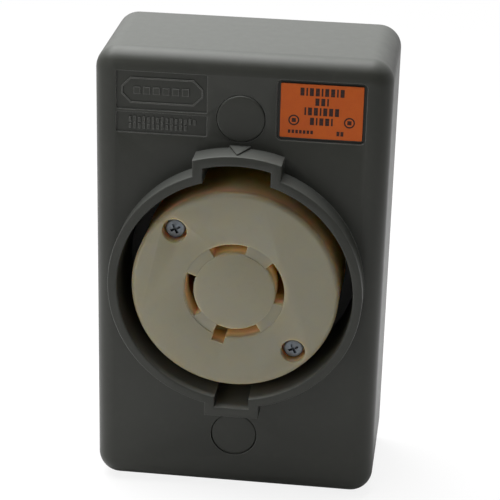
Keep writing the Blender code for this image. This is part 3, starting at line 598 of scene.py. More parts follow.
def moulded_grey():
    """Spark-eroded grey thermoplastic with patches of dust. Its edges are pale from wear and a painted
    highlight, its upward faces are painted lighter where the light falls, and the well is painted dark as
    shade.
    """
    made, tree, shader = new_material("moulded_grey", GREY_LIGHT, 0.42, 0.0, 0.2)
    cloud = add_noise(tree, 60, 3.0)
    flow = add_noise(tree, 420, 5.0)
    grain = add_noise(tree, 2600, 2.0)
    tone = add_tint(tree, cloud, 0.3, 0.7, 1.0, GREY_DARK, GREY_LIGHT)
    dusty = add_tint(tree, flow, 0.52, 0.78, 0.22, tone, GREY_DUST)
    # Edges turn pale: partly wear, partly a painted highlight.
    pale_edges = add_mix(tree, edge_mask(tree, 0.3 * MM), dusty, GREY_EDGE_HIGHLIGHT)
    # Painted light: upward faces are painted lighter, as if lit from above.
    painted_top_light = add_tint(tree, add_parts(tree, "Normal")["Z"], 0.45, 1.0, 0.5, pale_edges, GREY_TOP_LIGHT)
    # Painted shade: the well's wall is painted darker with depth.
    painted_well_shade = add_mix(tree, well_shade_mask(tree), painted_top_light, WELL_SHADE)
    lay_finish(tree, shader, painted_well_shade, flow, (0.3, 0.75, 0.4, 0.46))
    wave = add_bump(tree, shader, cloud, 0.01 * MM, 0.3)
    add_bump(tree, shader, grain, 0.005 * MM, 0.3, wave)
    return made


def dress(piece, finish, body, slot_name, *cad_nodes):
    """Gives a new piece its material, its body and the CAD nodes it stands for. The slot name is not used.
    """
    piece.data.materials.clear()
    piece.data.materials.append(finish)
    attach(piece, body)
    if cad_nodes:
        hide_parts(*cad_nodes)


grey_plastic = moulded_grey()
housing = make_housing()
dress(housing, grey_plastic, "box", "grey_plastic", "housing")

# Screw caps
# Two snap-in plugs of the same grey plastic that hide the mounting screws. Each is a slightly crowned
# disc on a hollow stem, which is split in four so that it springs into the bore.
CAP_STEPS = 96
CAP_ROUNDING = 0.5 * MM
CAP_GAP = 0.12 * MM
CAP_CROWN = 0.12 * MM
STEM_RADIUS = 4.1 * MM
STEM_INNER = 3.1 * MM
STEM_SPLIT = 0.7 * MM
STEM_CHAMFER = 0.12 * MM
CAP_SEAT = 1.2 * MM
CAP_WEB = 0.9 * MM  # what is left of the disc in front of the hollow stem


def turned(name, profile, steps=64):
    """A solid turned about the Y axis: a disc, drawn out and widened to each (radius, y) in turn."""
    deselect()
    (radius, place), *rest = profile
    bpy.ops.mesh.primitive_circle_add(
        vertices=steps, radius=radius, fill_type="NGON", location=(0, place, 0), rotation=(math.pi / 2, 0, 0)
    )
    piece = named(name)
    bpy.ops.object.mode_set(mode="EDIT")
    bpy.ops.mesh.select_all(action="SELECT")
    for next_radius, next_place in rest:
        bpy.ops.mesh.extrude_region_move(TRANSFORM_OT_translate={"value": (0, next_place - place, 0)})
        grow = next_radius / radius
        bpy.ops.transform.resize(value=(grow, 1, grow), center_override=(0, next_place, 0))
        radius, place = next_radius, next_place
    bpy.ops.mesh.select_all(action="SELECT")
    bpy.ops.mesh.normals_make_consistent(inside=False)
    done()
    return piece


def rounded(radius, front, rounding, crown=0.0, steps=5):
    """Profile points of a round front: a crowned middle, then an edge rounded down to the full radius."""
    inner = radius - rounding
    points = [(inner * share, front + crown * (share**2)) for share in (0.12, 0.45, 0.75)]
    for i in range(steps + 1):
        turn = math.radians(90 * i / steps)
        y = front + crown + (rounding - crown) * (1 - math.cos(turn))
        points.append((inner + rounding * math.sin(turn), y))
    return points


def placed(piece, x=0.0, y=0.0, z=0.0, degrees=0.0):
    """Turns a piece made on the Y axis, then moves it to its place, in its mesh."""
    piece.data.transform(Matrix.Translation((x, y, z)) @ Matrix.Rotation(math.radians(-degrees), 4, "Y"))
    piece.data.update()
    return piece


def make_cap(side, node):
    low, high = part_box(node)
    seat = low.y + CAP_SEAT
    rim = CAP_RECESS_RADIUS - CAP_GAP
    front = rounded(rim, low.y, CAP_ROUNDING, CAP_CROWN, 6)
    profile = [*front, (rim, seat), (STEM_RADIUS, seat), (STEM_RADIUS, high.y)]
    cap = turned(f"{node}_disc", profile, CAP_STEPS)
    cut(cap, rod("hollow", STEM_INNER, low.y + CAP_WEB, high.y + PAST, steps=64))
    for wide, tall in ((STEM_SPLIT, OUTER_X), (OUTER_X, STEM_SPLIT)):
        cut(cap, block("split", (-wide, seat + 0.3 * MM, -tall), (wide, high.y + PAST, tall)))
    clean(cap)
    round_edges(cap, STEM_CHAMFER, lambda edge: flat_in(edge, high.y) and sharp(edge, 60), 1)
    smooth(cap)
    return placed(cap, z=side * SCREW_PLACE)


ENDS = {"top": 1, "bottom": -1}
for end, side in ENDS.items():
    cap = make_cap(side, f"screw_cap_{end}")
    dress(cap, grey_plastic, f"cap_{end}", "grey_plastic", f"screw_cap_{end}")

# Marking panel
# The maker's panel is moulded in one with the housing. Here its two fields carry only plain raised
# strokes: a chamfered frame with a row of bars, and two rows of fine ticks.
RELIEF_HEIGHT = 0.28 * MM
RELIEF_SINK = 0.1 * MM
RELIEF_SLOPE = 0.12 * MM
FRAME_LINE = 0.35 * MM
FRAME_CORNER = 2.2 * MM
FRAME_MARGIN = {"left": 1.2 * MM, "right": 1.0 * MM, "ends": 1.5 * MM}
BAR = {"start": 4.1 * MM, "pitch": 2.3 * MM, "width": 1.7 * MM, "half": 0.9 * MM, "count": 6}
TICK = {"start": 3.0 * MM, "pitch": 1.1 * MM, "width": 0.62 * MM, "below": 0.75 * MM, "above": 0.55 * MM}
TICK_LIFT = 0.25 * MM
TICK_ROW_INSET = 1.7 * MM
TICK_COUNTS = (15, 13)


def gather(name, pieces):
    """Joins pieces into one object, each still its own closed body."""
    deselect()
    for piece in pieces:
        piece.select_set(True)
    bpy.context.view_layer.objects.active = pieces[0]
    bpy.ops.object.join()
    joined = bpy.context.object
    joined.name = name
    joined.data.name = name
    return joined


def stroke(left, right, bottom, top):
    """A low raised bar on the panel's floor, with sloped sides."""
    floor = FRONT + PANEL_RECESS
    bar = block("stroke", (left, floor - RELIEF_HEIGHT, bottom), (right, floor + RELIEF_SINK, top))
    pick(bar, "faces", lambda face: face.normal.y < -0.9)
    width = right - left
    height = top - bottom
    shrink = (1 - RELIEF_SLOPE / width, 1, 1 - RELIEF_SLOPE / height)
    middle = ((left + right) / 2, floor, (bottom + top) / 2)
    bpy.ops.transform.resize(value=shrink, center_override=middle)
    done()
    return bar


def make_frame(left, right, bottom, top):
    """A raised outline with cut corners."""
    floor = FRONT + PANEL_RECESS
    line = FRAME_LINE
    low = (left, floor - RELIEF_HEIGHT, bottom)
    outline = rounded_slab("frame", low, (right, floor + RELIEF_SINK, top), FRAME_CORNER, 1)
    low = (left + line, floor - PAST, bottom + line)
    high = (right - line, floor + PAST, top - line)
    return cut(outline, rounded_slab("inside", low, high, FRAME_CORNER - line / 2, 1))


def make_relief():
    bottom, top = PANEL_UPPER
    left, right, ends = FRAME_MARGIN.values()
    strokes = [make_frame(PANEL_LEFT + left, PANEL_RIGHT - right, bottom + ends, top - ends)]
    middle = (bottom + top) / 2
    for i in range(BAR["count"]):
        start = PANEL_LEFT + BAR["start"] + i * BAR["pitch"]
        strokes.append(stroke(start, start + BAR["width"], middle - BAR["half"], middle + BAR["half"]))
    bottom, top = PANEL_LOWER
    for row, count in zip((top - TICK_ROW_INSET, bottom + TICK_ROW_INSET), TICK_COUNTS):
        for i in range(count):
            start = PANEL_LEFT + TICK["start"] + i * TICK["pitch"]
            rise = TICK["above"] + TICK_LIFT * (i % 2)
            strokes.append(stroke(start, start + TICK["width"], row - TICK["below"], row + rise))
    return gather("marking_relief", strokes)


dress(make_relief(), grey_plastic, "box", "grey_plastic")

# Rating label
# A rectangle of orange polyester film, stuck in its recess. Its print is plain bars, ticks and rings in
# brown-black ink, in the places where a rating is usually printed.
INK_HEIGHT = 0.02 * MM
LABEL_CORNER = 0.3 * MM
FILM_EDGE = 0.05 * MM
FILM_INSET = 0.4 * MM
WIDE = 0.95 * MM
SLIM = 0.4 * MM
TICK_GAP = 0.42 * MM
PRINT_ROWS = (  # each row's height above the label's lower edge, its ticks' height and their widths
    (11.3 * MM, 1.9 * MM, (WIDE, SLIM, WIDE, WIDE, SLIM, WIDE, WIDE, SLIM, WIDE)),
    (8.95 * MM, 1.8 * MM, (WIDE, WIDE, SLIM)),
    (6.6 * MM, 1.9 * MM, (SLIM, WIDE, WIDE, SLIM, WIDE, WIDE, WIDE)),
    (4.2 * MM, 1.8 * MM, (WIDE, SLIM, WIDE, WIDE, SLIM)),
)
RING_PLACES = ((3.2 * MM, 4.3 * MM), (16.2 * MM, 4.3 * MM))
RING_RADIUS = 1.3 * MM
RING_LINE = 0.36 * MM
RING_DOT = 0.5 * MM
FOOT_ROW = 1.5 * MM
ORANGE = (0.345, 0.058, 0.002)
ORANGE_PALE = (0.385, 0.072, 0.003)
ORANGE_DULL = (0.26, 0.042, 0.002)
INK = (0.018, 0.007, 0.004)
label_low, label_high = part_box("rating_label")
label_low += Vector((FILM_INSET, 0, FILM_INSET))
label_high -= Vector((FILM_INSET, 0, FILM_INSET))


def ink_block(left, right, bottom, top):
    """A patch of ink. The places are measured from the label's lower left corner."""
    x, z = label_low.x, label_low.z
    front = label_low.y - INK_HEIGHT
    return block("ink", (x + left, front, z + bottom), (x + right, label_low.y + FILM_EDGE, z + top))


def ink_ring(x, z):
    place = (label_low.x + x, label_low.z + z, 48)
    ring = rod("ink", RING_RADIUS, label_low.y - INK_HEIGHT, label_low.y + FILM_EDGE, *place)
    return cut(ring, rod("hole", RING_RADIUS - RING_LINE, label_low.y - PAST, label_low.y + PAST, *place))


def ink_line(middle, start, widths, height, gap):
    """A row of ticks of the given widths."""
    ticks = []
    for width in widths:
        ticks.append(ink_block(start, start + width, middle - height / 2, middle + height / 2))
        start += width + gap
    return ticks


def make_print():
    half_width = (label_high.x - label_low.x) / 2
    marks = []
    for middle, height, widths in PRINT_ROWS:
        span = sum(widths) + TICK_GAP * (len(widths) - 1)
        marks += ink_line(middle, half_width - span / 2, widths, height, TICK_GAP)
    for x, z in RING_PLACES:
        marks.append(ink_ring(x, z))
        marks.append(ink_block(x - RING_DOT, x + RING_DOT, z - RING_DOT, z + RING_DOT))
    marks += ink_line(FOOT_ROW, 1.9 * MM, (0.6 * MM,) * 7, 0.85 * MM, 0.28 * MM)
    marks += ink_line(FOOT_ROW, 13.3 * MM, (0.7 * MM,) * 2, 1.1 * MM, 0.22 * MM)
    return gather("label_print", marks)


def printed_film():
    """Orange film: a sheen that wanders a little, and the faint ripple of the glue under it."""
    made, tree, shader = new_material("orange_film", ORANGE, 0.42, 0.0, 0.2)
    cloud = add_noise(tree, 180, 3.0)
    speck = add_noise(tree, 2400, 2.0)
    tone = add_tint(tree, cloud, 0.3, 0.7, 1.0, ORANGE, ORANGE_PALE)
    printed = add_tint(tree, speck, 0.55, 0.8, 0.5, tone, ORANGE_DULL)
    lay_finish(tree, shader, printed, cloud, (0.3, 0.7, 0.34, 0.5))
    add_bump(tree, shader, cloud, 0.04 * MM, 0.5)
    return made


def label_ink():
    """Thermal-transfer ink, thinner in specks."""
    made, tree, shader = new_material("label_ink", INK, 0.5, 0.0, 0.2)
    speck = add_noise(tree, 3200, 3.0)
    tree.links.new(add_tint(tree, speck, 0.55, 0.75, 0.35, INK, ORANGE_DULL), shader.inputs["Base Color"])
    return made


film = rounded_slab("label_film", label_low, label_high, LABEL_CORNER, 6)
round_edges(film, FILM_EDGE, lambda edge: flat_in(edge, label_low.y) and sharp(edge), 1)
smooth(film)
dress(film, printed_film(), "box", "orange_label", "rating_label")
dress(make_print(), label_ink(), "box", "orange_label")

# Receptacle face
# A thick cup of ivory nylon. Its island has four curved slots that let the blades in and lock them when
# the plug is turned, one with the ground blade's hook, and two bores for the assembly screws.
face_low, face_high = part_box("receptacle_face")
FACE = face_low.y
FACE_RADIUS = 25.1 * MM
FACE_ROUNDING = 1.2 * MM
FLANGE_RADIUS = face_high.x
FLANGE_FRONT = -16.6 * MM
FLANGE_CHAMFER = 0.2 * MM
CUP_RADIUS = 23.5 * MM
CUP_FLOOR = -32.7 * MM
SLOT_INNER = 9.9 * MM
SLOT_OUTER = 12.1 * MM
SLOT_ANGLES = {"neutral": (76, 121), "hot_x": (-14, 41), "hot_y": (161, 217), "ground": (-114, -57)}
HOOK_ANGLE = -106
HOOK_HALF_WIDTH = 1.5 * MM
HOOK_REACH = 14.1 * MM
HOOK_ROOT = SLOT_INNER + 0.6 * MM
MOUTH_ROUNDING = 0.1 * MM
NOTCH_START = 26.5 * MM  # the notch fits over the housing's locating rib
NOTCH_HALF_WIDTH = 1.8 * MM
GROOVE_INNER = 9.65 * MM
GROOVE_OUTER = 12.35 * MM
GROOVE_DEPTH = 0.25 * MM
SCREW_CIRCLE = 20.7 * MM
SCREW_ANGLES = {"left": 135, "right": -45}
COUNTERBORE_RADIUS = 3.0 * MM
COUNTERBORE_DEPTH = 4.2 * MM
SCREW_HOLE_RADIUS = 1.7 * MM
IVORY = (0.185, 0.172, 0.118)
IVORY_WARM = (0.196, 0.178, 0.110)
IVORY_SOIL = (0.170, 0.153, 0.096)
# The two amber colours are a painted glow of light passing through the nylon.
AMBER_GLOW = (0.78, 0.60, 0.32)
AMBER_DEEP_GLOW = (0.95, 0.50, 0.10)


def sector(name, inner, outer, start, end, front, back_end):
    """A curved bar: an upright rectangle on the +X side, spun about the Y axis from start to end."""
    deselect()
    bpy.ops.mesh.primitive_plane_add(size=1, location=((inner + outer) / 2, (front + back_end) / 2, 0))
    bpy.context.object.scale = (outer - inner, back_end - front, 1)
    piece = named(name)
    bpy.ops.object.mode_set(mode="EDIT")
    bpy.ops.mesh.select_all(action="SELECT")
    steps = max(4, round((end - start) / 3))
    bpy.ops.mesh.spin(steps=steps, angle=math.radians(end - start), center=(0, 0, 0), axis=(0, 1, 0))
    bpy.ops.mesh.select_all(action="SELECT")
    bpy.ops.mesh.remove_doubles(threshold=0.001 * MM)
    bpy.ops.mesh.fill_holes(sides=0)
    bpy.ops.mesh.normals_make_consistent(inside=False)
    done()
    if max(vert.co.z for vert in piece.data.vertices) < 0.01 * MM:
        return placed(piece, degrees=end)
    return placed(piece, degrees=start)


def cut_slots(piece, front, back_end):
    for start, end in SLOT_ANGLES.values():
        cut(piece, sector("slot", SLOT_INNER, SLOT_OUTER, start, end, front, back_end))
    hook = block("hook", (HOOK_ROOT, front, -HOOK_HALF_WIDTH), (HOOK_REACH, back_end, HOOK_HALF_WIDTH))
    cut(piece, placed(hook, degrees=HOOK_ANGLE))


def cut_notch(piece, front, rear):
    """The notch in a flange that keeps the receptacle from turning in the well."""
    low = (NOTCH_START, front - PAST, -NOTCH_HALF_WIDTH)
    cut(piece, block("notch", low, (2 * FLANGE_RADIUS, rear + PAST, NOTCH_HALF_WIDTH)))


def make_face():
    profile = [
        *rounded(FACE_RADIUS, FACE, FACE_ROUNDING, 0.0, 8),
        (FACE_RADIUS, FLANGE_FRONT),
        (FLANGE_RADIUS - FLANGE_CHAMFER, FLANGE_FRONT),
        (FLANGE_RADIUS, FLANGE_FRONT + FLANGE_CHAMFER),
        (FLANGE_RADIUS, face_high.y),
        (CUP_RADIUS, face_high.y),
        (CUP_RADIUS, CUP_FLOOR),
    ]
    cup = turned("receptacle_cup", profile, ROUND_STEPS)
    groove = rod("groove", GROOVE_OUTER, FACE - PAST, FACE + GROOVE_DEPTH, steps=128)
    cut(cup, cut(groove, rod("island", GROOVE_INNER, FACE - 2 * PAST, FACE + PAST, steps=128)))
    cut_slots(cup, FACE - PAST, CUP_FLOOR + PAST)
    for degrees in SCREW_ANGLES.values():
        x, z = polar(SCREW_CIRCLE, degrees)
        cut(cup, rod("hole", SCREW_HOLE_RADIUS, FACE, CUP_FLOOR + PAST, x, z, 32))
        cut(cup, rod("bore", COUNTERBORE_RADIUS, FACE - PAST, FACE + COUNTERBORE_DEPTH, x, z, 64))
    cut_notch(cup, FLANGE_FRONT, face_high.y)
    clean(cup)
    outer, inner = brim(FACE), brim(FACE + GROOVE_DEPTH)
    round_edges(cup, MOUTH_ROUNDING, lambda edge: outer(edge) or inner(edge), 2)
    smooth(cup)
    return cup


def ivory_nylon():
    """Ivory nylon that lets a little light in. Deeper in the moulding it is painted amber and brighter, a
    painted glow of the light that passes through the nylon and between its walls.
    """
    made, tree, shader = new_material("ivory_nylon", IVORY, 0.42)
    cloud = add_noise(tree, 110, 3.0)
    soil = add_noise(tree, 520, 5.0)
    grain = add_noise(tree, 2100, 2.0)
    depth = add_parts(tree, "Object")["Y"]
    tone = add_tint(tree, cloud, 0.35, 0.65, 1.0, IVORY, IVORY_WARM)
    used = add_tint(tree, soil, 0.55, 0.8, 0.35, tone, IVORY_SOIL)
    # Painted glow: the nylon turns amber and brighter with depth below the face.
    amber = add_tint(tree, depth, FACE + 0.3 * MM, FACE + 2.5 * MM, 1.0, used, AMBER_GLOW)
    deep = add_tint(tree, depth, FACE + 4.0 * MM, FACE + 14.0 * MM, 1.0, amber, AMBER_DEEP_GLOW)
    lay_finish(tree, shader, deep, soil, (0.3, 0.75, 0.36, 0.52))
    shader.inputs["Subsurface Weight"].default_value = 0.9
    shader.inputs["Subsurface Radius"].default_value = (1.0, 0.6, 0.2)
    shader.inputs["Subsurface Scale"].default_value = 5.0 * MM
    wave = add_bump(tree, shader, cloud, 0.08 * MM, 0.5)
    add_bump(tree, shader, grain, 0.01 * MM, 0.5, wave)
    return made


nylon = ivory_nylon()
dress(make_face(), nylon, "box", "ivory_nylon", "receptacle_face")

# Contact carrier and contacts
# Inside the cup, a core of the same nylon keeps the four blade contacts apart. Each contact is folded
# from brass strip: two leaves that grip the blade, and a tail that ends in the terminal's plate.
CARRIER_EDGE = 0.15 * MM
CONTACT_EDGE = 0.08 * MM
BRASS = (0.60, 0.41, 0.155)
BRASS_BRIGHT = (0.72, 0.53, 0.24)
BRASS_TARNISH = (0.30, 0.17, 0.06)


def own_copy(source, name):
    """A copy with its own mesh."""
    twin = source.copy()
    twin.data = source.data.copy()
    twin.name = name
    twin.data.name = name
    scene.collection.objects.link(twin)
    return twin


def finished_copy(node, name, width):
    """A copy of a CAD solid with its flat areas whole again and its sharp edges broken."""
    deselect()
    piece = own_copy(frame["nodes"][node], name)
    piece.parent = None
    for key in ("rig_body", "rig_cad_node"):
        del piece[key]
    clean(piece)
    round_edges(piece, width, lambda edge: sharp(edge, 50) and edge.is_convex, 1)
    smooth(piece, 40)
    return piece


def tumbled_brass():
    """Stamped brass, tumbled bright: fine scratches every way, and tarnish in soft patches."""
    made, tree, shader = new_material("tumbled_brass", BRASS, 0.28, 1.0)
    cloud = add_noise(tree, 300, 5.0)
    scratch = add_noise(tree, 3500, 3.0, 0.6, (1, 0.25, 1))
    tone = add_tint(tree, cloud, 0.45, 0.75, 0.75, BRASS, BRASS_TARNISH)
    bright = add_mix(tree, edge_mask(tree, 0.2 * MM), tone, BRASS_BRIGHT)
    lay_finish(tree, shader, bright, cloud, (0.3, 0.75, 0.2, 0.46))
    add_bump(tree, shader, scratch, 0.01 * MM, 0.5)
    return made


brass = tumbled_brass()
carrier = finished_copy("contact_carrier", "carrier_core", CARRIER_EDGE)
dress(carrier, nylon, "box", "ivory_nylon", "contact_carrier")
for name in SLOT_ANGLES:
    contact = finished_copy(f"contact_{name}", f"brass_contact_{name}", CONTACT_EDGE)
    dress(contact, brass, "box", "brass", f"contact_{name}")

# Terminal base
# The moulded black phenolic back of the receptacle. Its flange is clamped against the well's floor. Four
# open pockets hold the terminals, and two square ones keep the assembly nuts from turning.
BASE_FLANGE = (-13.8 * MM, -11.3 * MM)
BASE_RADIUS = 24.8 * MM
BASE_REAR = -3.5 * MM
BASE_CHAMFER = 0.4 * MM
BASE_ROUNDING = 0.18 * MM
BASE_DISH = ((10.0, 0.0), (9.2, 0.0), (9.0, 0.6), (3.2, 0.6), (3.0, 0.1))  # radius and depth in mm
POCKET_FLOOR = -9.5 * MM
POCKET_START = 11.1 * MM
POCKET_HALF_WIDTH = 5.4 * MM
POCKET_ROUNDING = 0.5 * MM
LEG_WAY_START = POCKET_START + 0.05 * MM
LEG_WAY_END = 12.7 * MM
LEG_WAY_FLOOR = -8.7 * MM
LEG_WAY_HALF_WIDTH = 3.4 * MM
TERMINAL_CIRCLE = 17.2 * MM
TERMINAL_HOLE = 2.35 * MM
NUT_POCKET_HALF_WIDTH = 3.1 * MM
NUT_POCKET_FLOOR = -7.9 * MM
PHENOLIC = (0.014, 0.0135, 0.014)
PHENOLIC_FLOW = (0.03, 0.028, 0.027)
PHENOLIC_DUST = (0.07, 0.066, 0.06)


def middle_angle(name):
    return sum(SLOT_ANGLES[name]) / 2


def make_base():
    front, flange_rear = BASE_FLANGE
    small = BASE_CHAMFER / 2
    profile = [
        (FLANGE_RADIUS - small, front),
        (FLANGE_RADIUS, front + small),
        (FLANGE_RADIUS, flange_rear - small),
        (FLANGE_RADIUS - small, flange_rear),
        (BASE_RADIUS, flange_rear),
        (BASE_RADIUS, BASE_REAR - BASE_CHAMFER),
        (BASE_RADIUS - BASE_CHAMFER, BASE_REAR),
    ]
    profile += [(radius * MM, BASE_REAR - depth * MM) for radius, depth in BASE_DISH]
    base = turned("base_moulding", profile, ROUND_STEPS)
    for name in SLOT_ANGLES:
        middle = middle_angle(name)
        half = POCKET_HALF_WIDTH
        pocket = block("pocket", (POCKET_START, POCKET_FLOOR, -half), (2 * FLANGE_RADIUS, PAST, half))
        round_edges(pocket, POCKET_ROUNDING, lambda edge: flat_in(edge, POCKET_FLOOR), 3)
        cut(base, placed(pocket, degrees=middle))
        half = LEG_WAY_HALF_WIDTH
        way = block("way", (LEG_WAY_START, front - PAST, -half), (LEG_WAY_END, LEG_WAY_FLOOR, half))
        cut(base, placed(way, degrees=middle))
        x, z = polar(TERMINAL_CIRCLE, middle)
        cut(base, rod("hole", TERMINAL_HOLE, front - PAST, PAST, x, z, 48))
    half = NUT_POCKET_HALF_WIDTH
    for degrees in SCREW_ANGLES.values():
        x, z = polar(SCREW_CIRCLE, degrees)
        cut(base, rod("hole", SCREW_HOLE_RADIUS, front - PAST, PAST, x, z, 32))
        low = (SCREW_CIRCLE - half, NUT_POCKET_FLOOR, -half)
        cut(base, placed(block("nut_pocket", low, (SCREW_CIRCLE + half, PAST, half)), degrees=degrees))
    cut_notch(base, front, flange_rear)
    clean(base)
    round_edges(base, BASE_ROUNDING, brim(BASE_REAR), 2)
    clean(base, flat_degrees=0.2)
    smooth(base)
    return base


def moulded_phenolic():
    """Black phenolic: a hard satin gloss with faint flow marks and a little pale dust."""
    made, tree, shader = new_material("moulded_phenolic", PHENOLIC, 0.3)
    flow = add_noise(tree, 240, 6.0, 0.6, (1, 1, 2.5))
    dust = add_noise(tree, 1500, 4.0)
    tone = add_tint(tree, flow, 0.4, 0.75, 0.8, PHENOLIC, PHENOLIC_FLOW)
    dusty = add_tint(tree, dust, 0.58, 0.8, 0.4, tone, PHENOLIC_DUST)
    pale_edges = add_mix(tree, edge_mask(tree, 0.2 * MM), dusty, PHENOLIC_DUST)
    lay_finish(tree, shader, pale_edges, flow, (0.3, 0.7, 0.24, 0.42))
    add_bump(tree, shader, flow, 0.05 * MM, 0.5)
    return made


dress(make_base(), moulded_phenolic(), "box", "black_phenolic", "terminal_base")

# Screws
# Steel screws with rolled threads and a slot or a small cross for the driver, plated with zinc. The
# terminal screws are told apart by finish: plain for neutral, brass for the live poles, green for ground.
THREAD_ROWS = 8  # rings of points in each turn of a thread
ZINC = (0.52, 0.54, 0.57)
ZINC_BLUE = (0.44, 0.48, 0.54)
ZINC_DULL = (0.30, 0.31, 0.32)
# A dark, dull zinc: painted shade for the assembly screw heads that sit deep in their bores.
ZINC_SHADED = (0.10, 0.105, 0.11)
ZINC_SHADED_BLUE = (0.14, 0.16, 0.18)
GREEN = (0.04, 0.22, 0.075)
GREEN_DARK = (0.015, 0.09, 0.03)
DRIVER_SLOT_HALF = 0.55 * MM
DRIVER_SLOT_DEPTH = 1.0 * MM
CROSS_REACH = 1.25 * MM
CROSS_HALF = 0.3 * MM
THREAD_DEPTH = 0.32  # in pitches
SCREW_EDGE = 0.12 * MM


def cut_thread(screw, root, crest, start, end, pitch):
    """Moves the shank's points in and out along a helix, between start and end along Y."""
    for vert in screw.data.vertices:
        x, y, z = vert.co
        if not start - 0.001 * MM <= y <= end + 0.001 * MM or math.hypot(x, z) < root * 0.6:
            continue
        turn = (y / pitch + math.atan2(z, x) / math.tau) % 1
        ridge = min(1.0, 2.6 * min(turn, 1 - turn))
        fade = min(1.0, (y - start) / pitch, (end - y) / pitch)
        radius = root + (crest - root) * (1 - ridge) * max(0.0, fade) + (crest - root) * 0.1
        scale = min(radius, crest) / math.hypot(x, z)
        vert.co = (x * scale, y, z * scale)
    screw.data.update()


def make_screw(name, head, shank, thread, steps=32, cross=False):
    """A screw made with its head towards -Y and its seat at y = 0.

    head is (radius, height, rounding), shank is (radius, length), thread is (start, pitch). Its driver's
    recess is a slot right across the head, or a small cross.
    """
    head_radius, head_height, rounding = head
    shank_radius, length = shank
    thread_start, pitch = thread
    root = shank_radius - THREAD_DEPTH * pitch
    profile = rounded(head_radius, -head_height, rounding, 0.25 * rounding, 6)
    profile += [(head_radius, -SCREW_EDGE), (head_radius - SCREW_EDGE, 0.0), (shank_radius, 0.0)]
    tip = length - pitch
    rows = round((tip - thread_start) / pitch * THREAD_ROWS)
    profile += [(root, thread_start + (tip - thread_start) * i / rows) for i in range(rows + 1)]
    profile += [(root, tip + pitch / 2), (root * 0.5, length)]
    screw = turned(name, profile, steps)
    cut_thread(screw, root, shank_radius, thread_start, tip, pitch)
    floor = DRIVER_SLOT_DEPTH - head_height
    reach, half = (CROSS_REACH, CROSS_HALF) if cross else (2 * head_radius, DRIVER_SLOT_HALF)
    for wide, tall in ((reach, half), (half, reach)) if cross else ((reach, half),):
        cut(screw, block("driver_slot", (-wide, -2 * head_height, -tall), (wide, floor, tall)))
    clean(screw, flat_degrees=0.2)
    smooth(screw, 38)
    return screw


def facing_back(screw):
    """Turns a screw end for end, so that its head faces the wall."""
    screw.data.transform(Matrix.Rotation(math.pi, 4, "Z"))
    screw.data.update()
    return screw


def plated(name, base, other, dull, rough=(0.22, 0.42)):
    """Plated steel: a bright skin whose tint wanders, dulled in patches, with fine tooling marks."""
    made, tree, shader = new_material(name, base, 0.3, 1.0)
    cloud = add_noise(tree, 380, 4.0)
    patch = add_noise(tree, 1300, 5.0)
    scratch = add_noise(tree, 5200, 2.0, 0.6, (1, 0.2, 1))
    tone = add_tint(tree, cloud, 0.4, 0.65, 1.0, base, other)
    spots = add_tint(tree, patch, 0.55, 0.8, 0.7, tone, dull)
    lay_finish(tree, shader, spots, patch, (0.3, 0.75, *rough))
    add_bump(tree, shader, scratch, 0.008 * MM, 0.5)
    return made


zinc_steel = plated("zinc_plate", ZINC, ZINC_BLUE, ZINC_DULL)
# A darkened copy of the zinc plate for the assembly screws: painted shade for heads that sit deep in the
# face's bores.
shaded_zinc = plated("shaded_zinc_plate", ZINC_SHADED, ZINC_SHADED_BLUE, ZINC_SHADED, (0.45, 0.6))
green_steel = plated("green_zinc_plate", GREEN, GREEN_DARK, GREEN_DARK, (0.25, 0.4))
TERMINAL_FINISHES = {
    "neutral": (zinc_steel, "zinc_steel"),
    "hot_x": (brass, "brass"),
    "hot_y": (brass, "brass"),
    "ground": (green_steel, "green_steel"),
}
TERMINAL_HEAD = (3.8 * MM, 2.3 * MM, 0.7 * MM)
TERMINAL_SHANK = (2.05 * MM, 7.2 * MM)
TERMINAL_THREAD = (0.6 * MM, 0.79 * MM)
TERMINAL_SEAT = -6.0 * MM
SCREW_TURN = 25
screw = make_screw("terminal_pattern", TERMINAL_HEAD, TERMINAL_SHANK, TERMINAL_THREAD)
terminal_pattern = facing_back(screw)
for name, (finish, slot_name) in TERMINAL_FINISHES.items():
    middle = middle_angle(name)
    x, z = polar(TERMINAL_CIRCLE, middle)
    screw = own_copy(terminal_pattern, f"binding_screw_{name}")
    placed(screw, x, TERMINAL_SEAT, z, middle + SCREW_TURN)
    dress(screw, finish, f"screw_{name}", slot_name, f"terminal_screw_{name}")
bpy.data.objects.remove(terminal_pattern)

# Wire clamps
# A zinc-plated pressure plate under each terminal screw. Its inner end rests by the contact's tail, and
# three pressed grooves across its underside bite the wire.
CLAMP = (-7.7 * MM, -6.3 * MM)
CLAMP_INNER = 5.7 * MM
CLAMP_OUTER = 3.8 * MM
CLAMP_HALF_WIDTH = 4.4 * MM
CLAMP_CORNER = 0.7 * MM
CLAMP_EDGE = 0.14 * MM
CLAMP_GROOVES = (-3.9 * MM, -3.1 * MM, 2.9 * MM)
CLAMP_GROOVE_HALF_WIDTH = 0.18 * MM
CLAMP_GROOVE_DEPTH = 0.2 * MM


def make_clamp():
    front, rear = CLAMP
    low = (-CLAMP_INNER, front, -CLAMP_HALF_WIDTH)
    clamp = rounded_slab("clamp_pattern", low, (CLAMP_OUTER, rear, CLAMP_HALF_WIDTH), CLAMP_CORNER)
    half = CLAMP_GROOVE_HALF_WIDTH
    for x in CLAMP_GROOVES:
        low = (x - half, front - PAST, -2 * CLAMP_HALF_WIDTH)
        cut(clamp, block("groove", low, (x + half, front + CLAMP_GROOVE_DEPTH, 2 * CLAMP_HALF_WIDTH)))
    cut(clamp, rod("hole", TERMINAL_HOLE, front - PAST, rear + PAST, steps=48))
    clean(clamp)
    round_edges(clamp, CLAMP_EDGE, lambda edge: flat_in(edge, rear) and sharp(edge, 60), 2)
    smooth(clamp)
    return clamp


